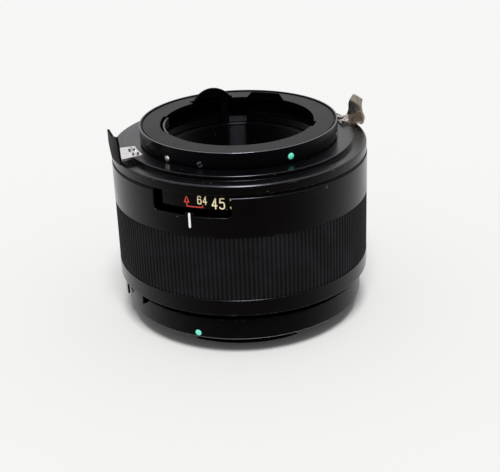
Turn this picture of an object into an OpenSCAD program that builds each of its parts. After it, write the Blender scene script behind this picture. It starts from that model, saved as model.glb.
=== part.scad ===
// Teleconverter for a 35 mm camera: a bayonet socket for the lens at the top, a bayonet
// plug for the camera at the bottom, and between them an aperture collar, a stop-down ring
// and a lens cell. +Z is the optical axis towards the lens, and the plug's end is at z = 0.
// Azimuths are counted from +X, and -90 is the side that faces the photographer.

/* [Front flange] */
// Outer radius of the raised flange that the lens drops over
flange_r = 24.84; // [24:0.02:26]
// Height of the flange's wall
flange_h = 4.05; // [3.8:0.05:5]
// Thickness of the bayonet plate across the flange's top
flange_plate = 1.4; // [1.2:0.1:1.8]
// Thickness of the wall below the plate
flange_wall = 1.19; // [0.9:0.01:1.4]
// Width of the bayonet plate, from the flange's wall to the opening for the lens
plate_w = 5.89; // [5.7:0.01:6.4]
// Width of the narrow rim round the plate
rim_w = 0.6; // [0.4:0.1:1]
// Height of the narrow rim over the plate
rim_h = 0.2; // [0.1:0.05:0.4]
// Depth of the wide entry gap at the back of the plate
entry_depth = 4.4; // [4:0.05:4.6]
// Depth of the two shallow entry gaps in the plate
relief_depth = 0.65; // [0.4:0.05:1.2]
// Radius of the index beads
dot_r = 0.85; // [0.5:0.05:1]

/* [Aperture collar] */
// Width of the step round the flange
step_w = 4.0; // [3.6:0.1:5]
// Height of the step over the shelf
step_h = 1.15; // [0.8:0.05:1.6]
// Width of the shelf from the step to the collar's edge
shelf_w = 3.26; // [3:0.02:4]
// Height of the collar's outer wall
collar_h = 2.35; // [2:0.05:3.5]
// Open gap between the collar and the barrel
collar_gap = 0.65; // [0.4:0.05:1]
// Turn from the automatic setting to the widest opening, in degrees
collar_turn = 65; // [40:1:70]
// Drop of the scale tongue below the collar
tongue_drop = 3.75; // [3:0.05:4.2]
// Thickness of the scale tongue
tongue_t = 1.1; // [0.8:0.1:1.4]
// Azimuth of the scale tongue's first end
tongue_from = -126; // [-128:1:-120]
// Height of the coupling tabs over the shelf
tab_h = 6.8; // [5.5:0.1:7.5]
// Sheet thickness of the coupling tabs
tab_t = 0.55; // [0.4:0.05:0.7]

/* [Barrel] */
// Height of the outer barrel
barrel_h = 30.4; // [29.5:0.1:34]
// Amount by which the barrel stands out past the collar
barrel_lip = 0.15; // [0.05:0.05:0.4]
// Wall of the barrel
barrel_wall = 1.95; // [1.7:0.05:2.3]
// Wall of the barrel round the scale window
window_wall = 0.75; // [0.6:0.05:0.9]
// Azimuth of the scale window's first side
window_from = -129.8; // [-134:0.1:-128]
// Azimuth of the scale window's second side
window_to = -94.3; // [-98:0.1:-88]
// Depth of the scale window below the barrel's top edge
window_depth = 4.85; // [4.4:0.05:5.5]
// Corner radius of the scale window
window_corner = 1.0; // [0.5:0.1:1.5]
// Azimuth of the index mark
index_az = -112.3; // [-116:0.1:-108]
// Height of the grip's lower edge over the barrel's bottom edge
grip_from = 4.2; // [3:0.1:5]
// Height of the rubber grip
grip_h = 16.25; // [14:0.05:18]
// Thickness of the rubber grip
grip_t = 0.9; // [0.7:0.05:1]
// Number of ribs on the grip
grip_ribs = 186; // [120:1:200]
// Depth of the grooves between the ribs
rib_depth = 0.4; // [0.2:0.05:0.5]

/* [Rear end] */
// Amount by which the pilot that centres the plug stands out past the neck
pilot_step = 2.6; // [2.4:0.05:2.8]
// Height of the pilot below the seat face
pilot_h = 1.5; // [1.2:0.1:2]
// Height of the neck between pilot and lugs
neck_h = 1.5; // [1.2:0.1:2]
// Wall of the plug's neck
neck_wall = 1.4; // [1.2:0.05:1.6]
// Amount by which the bayonet lugs stand out past the neck
lug_reach = 2.2; // [1.6:0.05:2.4]
// Height of the bayonet lugs
lug_h = 1.5; // [1.2:0.1:2]
// Angle that each lug covers, in degrees
lug_angle = 62; // [40:1:70]
// Amount by which the plug's bore is smaller than the core tube's
plug_lip = 0.4; // [0.2:0.05:0.5]
// Height of the rear mount ring
rear_ring_h = 5.5; // [5:0.1:7]
// Amount by which the rear mount ring is set back from the barrel
rear_setback = 1.75; // [1.6:0.05:2.2]
// Thickness of the rear mount ring's plate
rear_plate = 2.3; // [2:0.1:3]
// Open slot between the rear mount ring and the barrel
slot_h = 1.8; // [1.6:0.1:2.4]

/* [Core and transfer] */
// Wall of the core tube
core_wall = 3.4; // [3.2:0.05:3.6]
// Height of the web that carries the barrel
web_h = 4; // [3:0.5:6]
// Radial thickness of the transfer bar
bar_t = 1.6; // [1.2:0.1:2]
// Azimuth of the transfer bar's first side
bar_from = 60; // [55:1:65]
// Angle that the transfer bar covers, in degrees
bar_angle = 20; // [14:1:24]
// Thickness of the rear coupling ring
coupling_t = 1.5; // [1.2:0.1:2]

/* [Stop-down ring] */
// Turn of the stop-down ring, in degrees
stop_turn = 18; // [12:1:20]
// Height of the stop-down ring
stop_ring_h = 4.3; // [3.5:0.1:5]
// Wall of the stop-down ring
stop_ring_wall = 1.85; // [1.7:0.05:2]
// Azimuth of the lever's first side at rest
lever_from = 97; // [95:0.5:99]
// Angle that the lever covers, in degrees
lever_angle = 6; // [5:0.5:7]
// Radial thickness of the lever
lever_t = 1.0; // [0.8:0.1:1.1]
// Radial thickness of the paddle
paddle_t = 0.8; // [0.6:0.1:1]
// Height of the paddle's head over the flange
paddle_h = 2.55; // [2:0.05:3.5]
// Radius of the paddle's round head
paddle_r = 6.4; // [5.5:0.1:7]
// Azimuth of the middle of the paddle's head
paddle_az = 109.75; // [107:0.25:112]
// Radius of the return spring's coils
spring_coil_r = 0.52; // [0.45:0.01:0.6]
// Radius of the return spring's wire
spring_wire_r = 0.13; // [0.1:0.01:0.16]

/* [Optics] */
// Wall of the front baffle
cell_wall = 1.0; // [0.9:0.05:1.2]
// Wall of the lens cell round the front group's glasses
glass_wall = 3.0; // [2.4:0.1:4]
// Amount by which the rear group's glasses are smaller in radius than the front group's
glass_step = 1.0; // [0.5:0.1:2]
// Width of the flat seat round each glass
glass_seat = 2.5; // [1.8:0.1:3]
// Wall of the cell's tail
tail_wall = 2.0; // [1.5:0.1:3]
// Height of the front baffle over the lens cell
baffle_h = 6.6; // [6.2:0.1:7.2]
// Thickness of the shoulder between the two groups
shoulder_t = 2.0; // [1.5:0.1:2.5]
// Thickness of the spacers
spacer_t = 2.0; // [1.8:0.1:2.4]
// Edge thickness of the first glass
edge_1 = 1.5; // [1.2:0.1:2.5]
// Edge thickness of the second glass
edge_2 = 5.5; // [5.2:0.1:6]
// Edge thickness of the third glass
edge_3 = 2.5; // [2:0.1:3]
// Edge thickness of the fourth glass
edge_4 = 3.2; // [3:0.1:3.6]
// Edge thickness of the fifth glass
edge_5 = 2.0; // [1.6:0.1:2.4]
// Edge thickness of the sixth glass
edge_6 = 2.5; // [2.2:0.1:2.8]
// Height of the retaining rings
retainer_h = 2.2; // [1.8:0.1:2.4]

/* [Clearances] */
// Radial clearance of a running fit
run_fit = 0.05; // [0.02:0.01:0.08]
// Play along the axis of a turning piece
end_play = 0.12; // [0.08:0.01:0.2]
// Gap round a piece that must not touch
free_gap = 0.3; // [0.25:0.01:0.4]
// Radial clearance of a piece that is screwed or cemented in
seat_fit = 0.02; // [0.01:0.01:0.04]
// Radius of the small screws
screw_r = 0.75; // [0.6:0.05:0.85]

/* [Hidden] */
$fn = 120;

// Distance that keeps an end or a cut just clear of the surface beside it
spare = 0.05;
// Distance that a cut runs on past the piece
past = 1;

// Heights, from the plug's end upwards
seat_z = lug_h + neck_h + pilot_h;
core_z0 = seat_z + rear_plate;
rear_ring_z1 = seat_z + rear_ring_h;
barrel_z0 = rear_ring_z1 + slot_h;
barrel_z1 = barrel_z0 + barrel_h;
collar_z0 = barrel_z1 + collar_gap;
collar_z1 = collar_z0 + collar_h;
step_z1 = collar_z1 + step_h;
flange_z0 = step_z1 + end_play;
flange_z1 = flange_z0 + flange_h;
face_z = flange_z1 - rim_h;
plate_z0 = face_z - flange_plate;
hub_drop = 0.75;
hub_z0 = collar_z0 - hub_drop;
grip_z0 = barrel_z0 + grip_from;
grip_z1 = grip_z0 + grip_h;
web_z0 = (grip_z0 + grip_z1 - web_h) / 2;
coupling_z0 = barrel_z0 + 0.5;
coupling_z1 = coupling_z0 + coupling_t;
pilot_z0 = lug_h + neck_h;
sink_z = seat_z + 0.8;

// Radii, outwards from the flange
step_r = flange_r + step_w;
collar_r = step_r + shelf_w;
barrel_r = collar_r + barrel_lip;
barrel_bore_r = barrel_r - barrel_wall;
window_bore_r = barrel_r - window_wall;
tongue_gap = 0.2;
tongue_r = window_bore_r - tongue_gap;
grip_tip_r = barrel_r - spare;
grip_seat_r = grip_tip_r - grip_t;
rear_r = barrel_r - rear_setback;
bar_r = barrel_bore_r - free_gap - spare;
web_slot_r = bar_r - bar_t - free_gap;

// Radii, inwards from the flange
socket_r = flange_r - plate_w;
entry_r = socket_r + entry_depth;
relief_r = socket_r + relief_depth;
spigot_r = flange_r - flange_wall - seat_fit;
spigot_wall = 1.0;
cavity_r = spigot_r - spigot_wall;
core_r = flange_r - 0.24;
journal_r = core_r - 0.45;
core_bore_r = core_r - core_wall;
stop_ring_r = core_bore_r - free_gap;
cell_r = stop_ring_r - stop_ring_wall - run_fit;
baffle_r = cell_r - cell_wall;
baffle_root_r = cell_r - 0.6;
lever_r = stop_ring_r - 0.5;
paddle_out_r = stop_ring_r - 0.35;
ledge_r = lever_r + free_gap - spare;
plug_bore_r = core_bore_r - plug_lip;
neck_r = plug_bore_r + neck_wall;
lug_r = neck_r + lug_reach;
pilot_r = neck_r + pilot_step;
sink_r = pilot_r + 0.6;
front_glass_r = cell_r - glass_wall;
rear_glass_r = front_glass_r - glass_step;

// Angles that the moving pieces need
play_angle = 1.3;
lever_sweep_from = lever_from - 5;
lever_sweep_to = lever_from + lever_angle + stop_turn + 5;
tongue_to = tongue_from + (window_to - window_from) + collar_turn + 2;

// Lens cell, from the baffle's top edge downwards
cell_z1 = collar_z0 + 0.55;
baffle_z0 = cell_z1 - baffle_h;
front_retainer_z1 = baffle_z0 - 0.6;
convex_z1 = front_retainer_z1 - retainer_h;
convex_z0 = convex_z1 - edge_1;
concave_z1 = convex_z0 - spacer_t;
cement_z = concave_z1 - edge_2;
front_seat_z = cement_z - edge_3;
shoulder_z = front_seat_z - shoulder_t;
meniscus_z0 = shoulder_z - edge_4;
rear_convex_z1 = meniscus_z0 - spacer_t;
rear_convex_z0 = rear_convex_z1 - edge_5;
field_z1 = rear_convex_z0 - spacer_t;
field_z0 = field_z1 - edge_6;
rear_retainer_z0 = field_z0 - retainer_h;
cell_z0 = rear_retainer_z0 - 0.3;
front_clear_r = front_glass_r - glass_seat;
rear_clear_r = rear_glass_r - glass_seat;
cell_seat_z = front_seat_z + 5.5;
cell_flange_t = 3.0;
ledge_h = 4.0;
cement_curve = 2.625;

// Stop-down ring, hung from the baffle's top edge
clip_t = 0.5;
clip_sink = 0.28;
clip_z1 = cell_z1 - 0.45;
clip_z0 = clip_z1 - clip_t;
stop_ring_z1 = clip_z0 - end_play;
stop_ring_z0 = stop_ring_z1 - stop_ring_h;
rib_z1 = stop_ring_z0 - end_play;
spring_az = 71;
spring_z = (cell_seat_z + cell_flange_t + baffle_z0) / 2;

// Fasteners and marks
barrel_screw_az = [100, -140, -20];
flange_screw_az = [-134, -14, 106];
cell_screw_az = [-100, 20, 140];
rear_screw_az = [-30, 90, 210];
lug_az = [-90, 30, 150];
flange_screw_z = flange_z0 + 1.0;
cell_screw_z = cell_seat_z + cell_flange_t / 2;
cell_screw_hold = 0.6;
rear_screw_r = (pilot_r + neck_r) / 2;
screw_hole_r = screw_r + seat_fit;
head_r = 1.1;
head_t = 0.8;
low_head_t = 0.7;
rear_screw_hold = 3;
barrel_screw_r0 = core_r + 1.5;
tab_shank_r = 0.55;
tab_shank_h = 1.45;
tab_head_r = 0.85;
tab_head_t = 0.4;
spring_post_r = 0.45;
bar_foot_t = 1.5;
dot_depth = 0.45;
dot_sink = 0.03;
front_dot_az = -61.1;
front_dot_z = flange_z0 + 1.65;
rear_dot_az = -112.85;
rear_dot_z = seat_z + 1.15;
tab_screw_r = flange_r + 3.05;
tab_left_az = -158.5;
tab_right_az = 18.7;
foot_left_az = -157.8;
foot_right_az = 15;
tab_screw_az = [foot_left_az - 3.2, foot_left_az + 3.2, foot_right_az - 3.6, foot_right_az + 3.6];
tab_in_r = flange_r + 1.7;
tab_out_r = collar_r + 0.15 + tab_t;
tab_low_z = collar_z1 + 0.2;
tab_top_z = collar_z1 + tab_h;
bar_screw_top_r = flange_r + 2.0;
bar_screw_low_r = web_slot_r - 0.5;
bar_screw_az = [bar_from + bar_angle * 0.25, bar_from + bar_angle * 0.75];

black = "#1b1b1d";
satin = "#26262a";
chrome = "#c9c6c0";
glass = [0.62, 0.72, 0.74, 0.45];

// Point of a plan at a radius and an azimuth
function polar(r, az) = [r * cos(az), r * sin(az)];

// Turned ring between two radii and two heights
module tube(r_out, r_in, z0, z1) {
    rotate_extrude() translate([r_in, z0]) square([r_out - r_in, z1 - z0]);
}

// Part of a turned ring between two azimuths
module arc(r_out, r_in, z0, z1, from, to) {
    rotate([0, 0, from]) rotate_extrude(angle = to - from)
        translate([r_in, z0]) square([r_out - r_in, z1 - z0]);
}

// Round rod along a radius
module spoke(az, z, r0, r1, radius) {
    rotate([0, 0, az]) translate([r0, 0, z]) rotate([0, 90, 0])
        cylinder(r = radius, h = r1 - r0, $fn = 32);
}

// Round rod along the axis, at a radius and an azimuth
module post(az, r, z0, z1, radius) {
    rotate([0, 0, az]) translate([r, 0, z0]) cylinder(r = radius, h = z1 - z0, $fn = 32);
}

// Plate whose outline lies across a radius, as points of sideways distance and height
module upright(az, r0, r1, outline) {
    rotate([0, 0, az]) rotate([90, 0, 90]) translate([0, 0, r0])
        linear_extrude(r1 - r0) polygon(outline);
}

// Screw along a radius with a driver slot in its outer end
module slotted_spoke(az, z, r0, r1, radius) {
    slot_w = radius * 0.4;
    slot_d = 0.3;
    difference() {
        spoke(az, z, r0, r1, radius);
        rotate([0, 0, az]) translate([r1 - slot_d, -radius - 1, z - slot_w / 2])
            cube([slot_d + 1, 2 * radius + 2, slot_w]);
    }
}

// Screw along the axis: shank, flat head and a cross cut in the head
module headed_post(az, r, shank_z, seat_at, head_z, shank_r, head_r) {
    cut_w = head_r * 0.35;
    up = head_z > seat_at ? 1 : -1;
    cut_z = head_z - up * 0.3;
    difference() {
        union() {
            post(az, r, min(shank_z, seat_at), max(shank_z, seat_at), shank_r);
            post(az, r, min(head_z, seat_at), max(head_z, seat_at), head_r);
        }
        rotate([0, 0, az]) translate([r, 0, cut_z + up * 0.5])
            for (turn = [0, 90]) rotate([0, 0, turn]) cube([head_r * 1.4, cut_w, 1], center = true);
    }
}

// Dished or crowned glass. Each curve is a multiple of the glass's radius: a positive one
// bulges outwards and a negative one is hollow
module glass_element(r, clear_r, z0, z1, top_curve, bottom_curve) {
    top = top_curve * r;
    bottom = bottom_curve * r;
    difference() {
        union() {
            translate([0, 0, z0]) cylinder(r = r, h = z1 - z0);
            if (top > 0) intersection() {
                translate([0, 0, z1 - sqrt(top * top - clear_r * clear_r)]) sphere(r = top);
                translate([0, 0, z1 - 0.2]) cylinder(r = clear_r, h = top);
            }
            if (bottom > 0) intersection() {
                translate([0, 0, z0 + sqrt(bottom * bottom - clear_r * clear_r)]) sphere(r = bottom);
                translate([0, 0, z0 + 0.2 - bottom]) cylinder(r = clear_r, h = bottom);
            }
        }
        if (top < 0) translate([0, 0, z1 + sqrt(top * top - clear_r * clear_r)]) sphere(r = -top);
        if (bottom < 0) translate([0, 0, z0 - sqrt(bottom * bottom - clear_r * clear_r)])
            sphere(r = -bottom);
    }
}

// Closed tube swept along a helix that runs from one point to another
function helix_point(p, q, r, turns, t) =
    let(along = (q - p) / norm(q - p), side = cross(along, [0, 0, 1]), a = 360 * turns * t)
    p + (q - p) * t + r * cos(a) * side + [0, 0, r * sin(a)];
module coil(p, q, r, wire_r, turns) {
    steps = turns * 8;
    sides = 6;
    along = (q - p) / norm(q - p);
    side = cross(along, [0, 0, 1]);
    points = [for (i = [0 : steps], k = [0 : sides - 1])
        let(a = 360 * turns * i / steps, b = 360 * k / sides)
        let(out = cos(a) * side + sin(a) * [0, 0, 1])
        helix_point(p, q, r, turns, i / steps) + wire_r * (cos(b) * out + sin(b) * along)];
    walls = [for (i = [0 : steps - 1], k = [0 : sides - 1])
        let(a = i * sides + k, b = i * sides + (k + 1) % sides)
        each [[a, b, b + sides], [a, b + sides, a + sides]]];
    ends = [for (k = [1 : sides - 2])
        each [[0, k + 1, k], [steps * sides, steps * sides + k, steps * sides + k + 1]]];
    polyhedron(points, concat(walls, ends));
}

// Opening in the barrel's top edge: straight sides, round lower corners, a tooth at the index
module window_cut() {
    half_angle = (window_to - window_from) / 2;
    middle = window_from + half_angle;
    half_w = barrel_r * sin(half_angle);
    low = barrel_z1 - window_depth;
    tooth = barrel_r * sin(index_az - middle);
    tooth_half = 1.1;
    tooth_top = low + 0.8;
    corner_x = half_w - window_corner;
    corner_z = low + window_corner;
    outline = concat(
        [[-half_w, barrel_z1 + past]],
        [for (a = [180 : 15 : 270]) [-corner_x, corner_z] + window_corner * [cos(a), sin(a)]],
        [[tooth - tooth_half, low], [tooth - tooth_half, tooth_top]],
        [[tooth + tooth_half, tooth_top], [tooth + tooth_half, low]],
        [for (a = [270 : 15 : 360]) [corner_x, corner_z] + window_corner * [cos(a), sin(a)]],
        [[half_w, barrel_z1 + past]]);
    upright(middle, barrel_r * cos(half_angle) - 4, barrel_r + past, outline);
}

module outer_barrel() {
    edge = 0.3;
    ease = 0.4;
    neck_z = barrel_z1 - window_depth - 1;
    lip_r = barrel_r - 0.35;
    lip_z = collar_z0 - free_gap - spare;
    color(satin) difference() {
        rotate_extrude() polygon([
            [barrel_bore_r, barrel_z0], [barrel_r - ease, barrel_z0], [barrel_r, barrel_z0 + ease],
            [barrel_r, grip_z0], [grip_seat_r, grip_z0], [grip_seat_r, grip_z1], [barrel_r, grip_z1],
            [barrel_r, barrel_z1 - edge], [barrel_r - edge, barrel_z1], [lip_r, barrel_z1],
            [lip_r, lip_z], [window_bore_r, lip_z],
            [window_bore_r, neck_z], [barrel_bore_r, neck_z - barrel_wall + window_wall]]);
        window_cut();
        for (az = barrel_screw_az)
            spoke(az, web_z0 + web_h / 2, barrel_bore_r - past, barrel_r, screw_hole_r);
    }
}

module rubber_grip() {
    root_r = grip_tip_r - rib_depth;
    pitch = 360 / grip_ribs;
    rib = [[0, root_r], [0.18, grip_tip_r], [0.62, grip_tip_r], [0.8, root_r]];
    outline = [for (i = [0 : grip_ribs - 1], step = rib)
        let(a = (i + step[0]) * pitch) step[1] * [cos(a), sin(a)]];
    color(black) difference() {
        translate([0, 0, grip_z0 + seat_fit]) linear_extrude(grip_h - 2 * seat_fit) polygon(outline);
        translate([0, 0, grip_z0 - past]) cylinder(r = grip_seat_r + seat_fit, h = grip_h + 2 * past);
    }
}

module barrel_screws() {
    color(chrome) for (az = barrel_screw_az)
        slotted_spoke(az, web_z0 + web_h / 2, barrel_screw_r0, grip_seat_r - spare, screw_r);
}

module core_tube() {
    web_r = barrel_bore_r - seat_fit;
    journal_z0 = hub_z0 - end_play;
    spigot_z0 = flange_z0 - 0.3;
    cavity_z0 = spigot_z0 - 1.2;
    color(black) difference() {
        union() {
            rotate_extrude() polygon([
                [core_r, core_z0], [core_r, journal_z0], [journal_r, journal_z0], [journal_r, spigot_z0],
                [spigot_r, spigot_z0], [spigot_r, plate_z0], [cavity_r, plate_z0], [cavity_r, cavity_z0],
                [core_bore_r, cavity_z0], [core_bore_r, cell_seat_z], [ledge_r, cell_seat_z],
                [ledge_r, cell_seat_z - ledge_h], [core_bore_r, cell_seat_z - ledge_h],
                [core_bore_r, core_z0]]);
            tube(web_r, core_r - 0.5, web_z0, web_z0 + web_h);
        }
        arc(web_r + past, web_slot_r, web_z0 - past, web_z0 + web_h + past,
            bar_from - collar_turn - play_angle * 2, bar_from + bar_angle + play_angle * 2);
        for (az = barrel_screw_az)
            spoke(az, web_z0 + web_h / 2, barrel_screw_r0 - seat_fit, web_r + past, screw_hole_r);
        for (az = cell_screw_az)
            spoke(az, cell_screw_z, core_bore_r - past, core_r + past, screw_hole_r);
        for (az = concat(flange_screw_az, [index_az]))
            spoke(az, flange_screw_z, cavity_r - past, spigot_r + past, screw_hole_r);
        spoke(spring_az, spring_z, core_bore_r - past, core_bore_r + 1.5, spring_post_r + seat_fit);
        for (az = rear_screw_az)
            post(az, rear_screw_r, core_z0 - past, core_z0 + rear_screw_hold + seat_fit, screw_hole_r);
    }
}

module front_bayonet() {
    edge = 0.25;
    groove = 0.3;
    low_z = plate_z0 - past;
    far_z = flange_z1 + past;
    slot_gap = free_gap - spare;
    entry_sides = [polar(socket_r - 1.2, 45.5), polar(entry_r + 1, 63.1), polar(entry_r + 1.2, 80),
        polar(socket_r - 1.8, 83)];
    head_half = asin(sqrt(pow(paddle_r, 2) - pow(paddle_r - paddle_h, 2)) / paddle_out_r);
    slot_from = min(lever_from, paddle_az - head_half) - play_angle;
    slot_to = max(lever_from + lever_angle + stop_turn, paddle_az + head_half) + play_angle;
    color(satin) difference() {
        rotate_extrude() polygon([
            [spigot_r + seat_fit, flange_z0], [flange_r - groove, flange_z0],
            [flange_r - groove, flange_z0 + groove], [flange_r, flange_z0 + groove],
            [flange_r, flange_z1 - edge], [flange_r - edge, flange_z1], [flange_r - rim_w, flange_z1],
            [flange_r - rim_w, face_z], [socket_r, face_z], [socket_r, plate_z0],
            [spigot_r + seat_fit, plate_z0]]);
        intersection() {
            arc(entry_r, socket_r - past, low_z, far_z, 40, 90);
            translate([0, 0, low_z]) linear_extrude(far_z - low_z) polygon(entry_sides);
        }
        arc(relief_r, socket_r - past, low_z, far_z, 165, 201);
        arc(relief_r, socket_r - past, low_z, far_z, -22, -10);
        arc(paddle_out_r + slot_gap, socket_r - past, low_z, far_z, slot_from, slot_to);
        for (az = concat(flange_screw_az, [index_az]))
            spoke(az, flange_screw_z, spigot_r - past, flange_r + past, screw_hole_r);
        spoke(front_dot_az, front_dot_z, flange_r - dot_depth, flange_r + past, dot_r + seat_fit);
    }
}

module flange_screws() {
    color(chrome) for (az = flange_screw_az)
        slotted_spoke(az, flange_screw_z, cavity_r + 0.1, flange_r - spare, screw_r);
}

module bayonet_stop_screw() {
    color(satin) slotted_spoke(index_az, flange_screw_z, cavity_r - 1.2, flange_r - spare, screw_r);
}

// Sprung arc that bears on the lens's hub, with a foot at each end below the plate
module bayonet_leaf_spring() {
    leaf_r = socket_r - spare;
    leaf_t = 0.45;
    foot_z1 = plate_z0 - seat_fit;
    foot_h = 1.4;
    color(chrome) union() {
        arc(leaf_r, leaf_r - leaf_t, foot_z1 - foot_h, face_z - 0.4, 164, 202);
        for (az = [164.5, 199])
            arc(cavity_r - seat_fit, leaf_r - leaf_t / 2, foot_z1 - foot_h + 0.2, foot_z1, az, az + 2.5);
    }
}

module index_beads() {
    color("#4fd6ae") {
        spoke(front_dot_az, front_dot_z, flange_r - dot_depth + seat_fit, flange_r - dot_sink, dot_r);
        spoke(rear_dot_az, rear_dot_z, rear_r - dot_depth + seat_fit, rear_r - dot_sink, dot_r);
    }
}

module lens_cell() {
    front_bore = front_glass_r + seat_fit;
    rear_bore = rear_glass_r + seat_fit;
    tail_r = rear_bore + tail_wall;
    cell_flange_r = core_bore_r - seat_fit;
    root_r = cell_r - 0.5;
    register_r = baffle_root_r + seat_fit;
    color(black) difference() {
        union() {
            rotate_extrude() polygon([
                [rear_bore, cell_z0], [tail_r, cell_z0], [tail_r, shoulder_z - 2], [cell_r, shoulder_z],
                [cell_r, baffle_z0], [register_r, baffle_z0], [register_r, front_retainer_z1],
                [front_bore, front_retainer_z1], [front_bore, front_seat_z],
                [front_clear_r, front_seat_z],
                [rear_clear_r, shoulder_z], [rear_bore, shoulder_z]]);
            arc(cell_flange_r, root_r, cell_seat_z, cell_seat_z + cell_flange_t,
                lever_sweep_to, lever_sweep_from + 360);
        }
        for (az = cell_screw_az)
            spoke(az, cell_screw_z, cell_flange_r - cell_screw_hold, cell_flange_r + past, screw_hole_r);
    }
}

// Tube screwed into the cell's front: it keeps stray light out and carries the stop-down ring
module front_baffle() {
    ledge_in_r = front_glass_r + 0.5;
    rib_r = stop_ring_r - 0.6;
    groove_r = cell_r - clip_sink - seat_fit;
    color(black) union() {
        rotate_extrude() polygon([
            [ledge_in_r, front_retainer_z1 + seat_fit], [baffle_root_r, front_retainer_z1 + seat_fit],
            [baffle_root_r, baffle_z0], [cell_r, baffle_z0],
            [cell_r, clip_z0 - seat_fit], [groove_r, clip_z0 - seat_fit],
            [groove_r, clip_z1 + seat_fit], [cell_r, clip_z1 + seat_fit], [cell_r, cell_z1],
            [baffle_r, cell_z1], [baffle_r, baffle_z0], [ledge_in_r, baffle_z0]]);
        arc(rib_r, cell_r - 0.5, baffle_z0, rib_z1, lever_sweep_to, lever_sweep_from + 360);
    }
}

module cell_screws() {
    color(chrome) for (az = cell_screw_az)
        slotted_spoke(az, cell_screw_z, core_bore_r - cell_screw_hold, core_r - 0.2, screw_r);
}

module front_convex_glass() {
    color(glass) glass_element(front_glass_r, front_clear_r, convex_z0, convex_z1, 3.125, 5.625);
}

module front_concave_glass() {
    color(glass) glass_element(front_glass_r, front_clear_r, cement_z, concave_z1, -3.125, -cement_curve);
}

module front_cemented_glass() {
    color(glass) glass_element(front_glass_r, front_clear_r, front_seat_z, cement_z, cement_curve, -5.625);
}

module rear_meniscus_glass() {
    color(glass) glass_element(rear_glass_r, rear_clear_r, meniscus_z0, shoulder_z, 4.667, -2);
}

module rear_convex_glass() {
    color(glass) glass_element(rear_glass_r, rear_clear_r, rear_convex_z0, rear_convex_z1, 3, 4);
}

module rear_field_glass() {
    color(glass) glass_element(rear_glass_r, rear_clear_r, field_z0, field_z1, -3.667, 6);
}

module front_spacer() {
    color(black) tube(front_glass_r, front_clear_r, concave_z1, convex_z0);
}

module middle_spacer() {
    color(black) tube(rear_glass_r, rear_clear_r, rear_convex_z1, meniscus_z0);
}

module rear_spacer() {
    color(black) tube(rear_glass_r, rear_clear_r, field_z1, rear_convex_z0);
}

// Threaded ring with a flared mouth and two slots for a spanner
module retaining_ring(r, clear_r, seat_at, mouth_z) {
    toward = mouth_z > seat_at ? 1 : -1;
    slot_w = 1.2;
    slot_d = 0.8;
    color(black) difference() {
        rotate_extrude() polygon([[clear_r, seat_at], [r, seat_at], [r, mouth_z],
            [clear_r + 1, mouth_z], [clear_r, mouth_z - toward * 1.2]]);
        translate([0, 0, mouth_z]) cube([2 * r + 2, slot_w, 2 * slot_d], center = true);
    }
}

module front_retaining_ring() {
    retaining_ring(front_glass_r, front_clear_r, convex_z1, front_retainer_z1);
}

module rear_retaining_ring() {
    retaining_ring(rear_glass_r, rear_clear_r, field_z0, rear_retainer_z0);
}

module stop_ring_clip() {
    color(chrome)
        arc(cell_r + 1, cell_r - clip_sink, clip_z0, clip_z1, lever_sweep_to + 2, lever_sweep_from + 358);
}

module spring_post() {
    color(chrome) spoke(spring_az, spring_z, lever_r - 0.9, core_bore_r + 1.4, spring_post_r);
}

module stop_down_spring() {
    reach_r = lever_r - spare;
    first = spring_az + 2.0;
    last = lever_from - 0.7;
    color(chrome) coil(
        [reach_r * cos(first), reach_r * sin(first), spring_z],
        [reach_r * cos(last), reach_r * sin(last), spring_z], spring_coil_r, spring_wire_r, 9);
}

// Ring that seats on the camera, with a slanted notch in its upper edge
module rear_mount_ring() {
    edge = 0.3;
    wall = 1.9;
    bore = neck_r + 0.1;
    hub_r = core_r + 2.4;
    hub_z1 = coupling_z0 - free_gap;
    color(satin) difference() {
        rotate_extrude() polygon([
            [bore, sink_z], [sink_r + spare, sink_z], [sink_r + spare, seat_z],
            [rear_r - edge, seat_z], [rear_r, seat_z + edge], [rear_r, rear_ring_z1 - edge],
            [rear_r - edge, rear_ring_z1], [rear_r - wall, rear_ring_z1], [rear_r - wall, core_z0],
            [hub_r, core_z0], [hub_r, hub_z1], [core_r + seat_fit, hub_z1], [core_r + seat_fit, core_z0],
            [bore, core_z0]]);
        for (az = rear_screw_az)
            post(az, rear_screw_r, sink_z - past, core_z0 + past, screw_hole_r);
        spoke(rear_dot_az, rear_dot_z, rear_r - dot_depth, rear_r + past, dot_r + seat_fit);
        upright(-147, rear_r - wall - past, rear_r + past, [[-1.05, rear_ring_z1 - 2.35],
            [1.7, rear_ring_z1 - 0.6], [2.6, rear_ring_z1 + past], [-0.1, rear_ring_z1 + past]]);
    }
}

module rear_bayonet() {
    edge = 0.3;
    top = core_z0 - 0.1;
    color(satin) difference() {
        union() {
            rotate_extrude() polygon([
                [plug_bore_r, edge], [plug_bore_r + edge, 0], [neck_r, 0], [neck_r, pilot_z0],
                [pilot_r, pilot_z0], [pilot_r, seat_z], [sink_r, seat_z], [sink_r, sink_z],
                [neck_r + spare, sink_z], [neck_r + spare, top], [plug_bore_r, top]]);
            for (az = lug_az)
                arc(lug_r, neck_r - 0.5, 0, lug_h, az - lug_angle / 2, az + lug_angle / 2);
        }
        for (az = rear_screw_az) {
            post(az, rear_screw_r, pilot_z0 - past, sink_z + past, screw_hole_r);
            post(az, rear_screw_r, pilot_z0 - past, pilot_z0 + head_t, head_r + seat_fit);
        }
    }
}

module rear_screws() {
    color(chrome) for (az = rear_screw_az)
        headed_post(az, rear_screw_r, core_z0 + rear_screw_hold, pilot_z0 + head_t, pilot_z0 + spare,
            screw_r, head_r);
}

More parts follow.
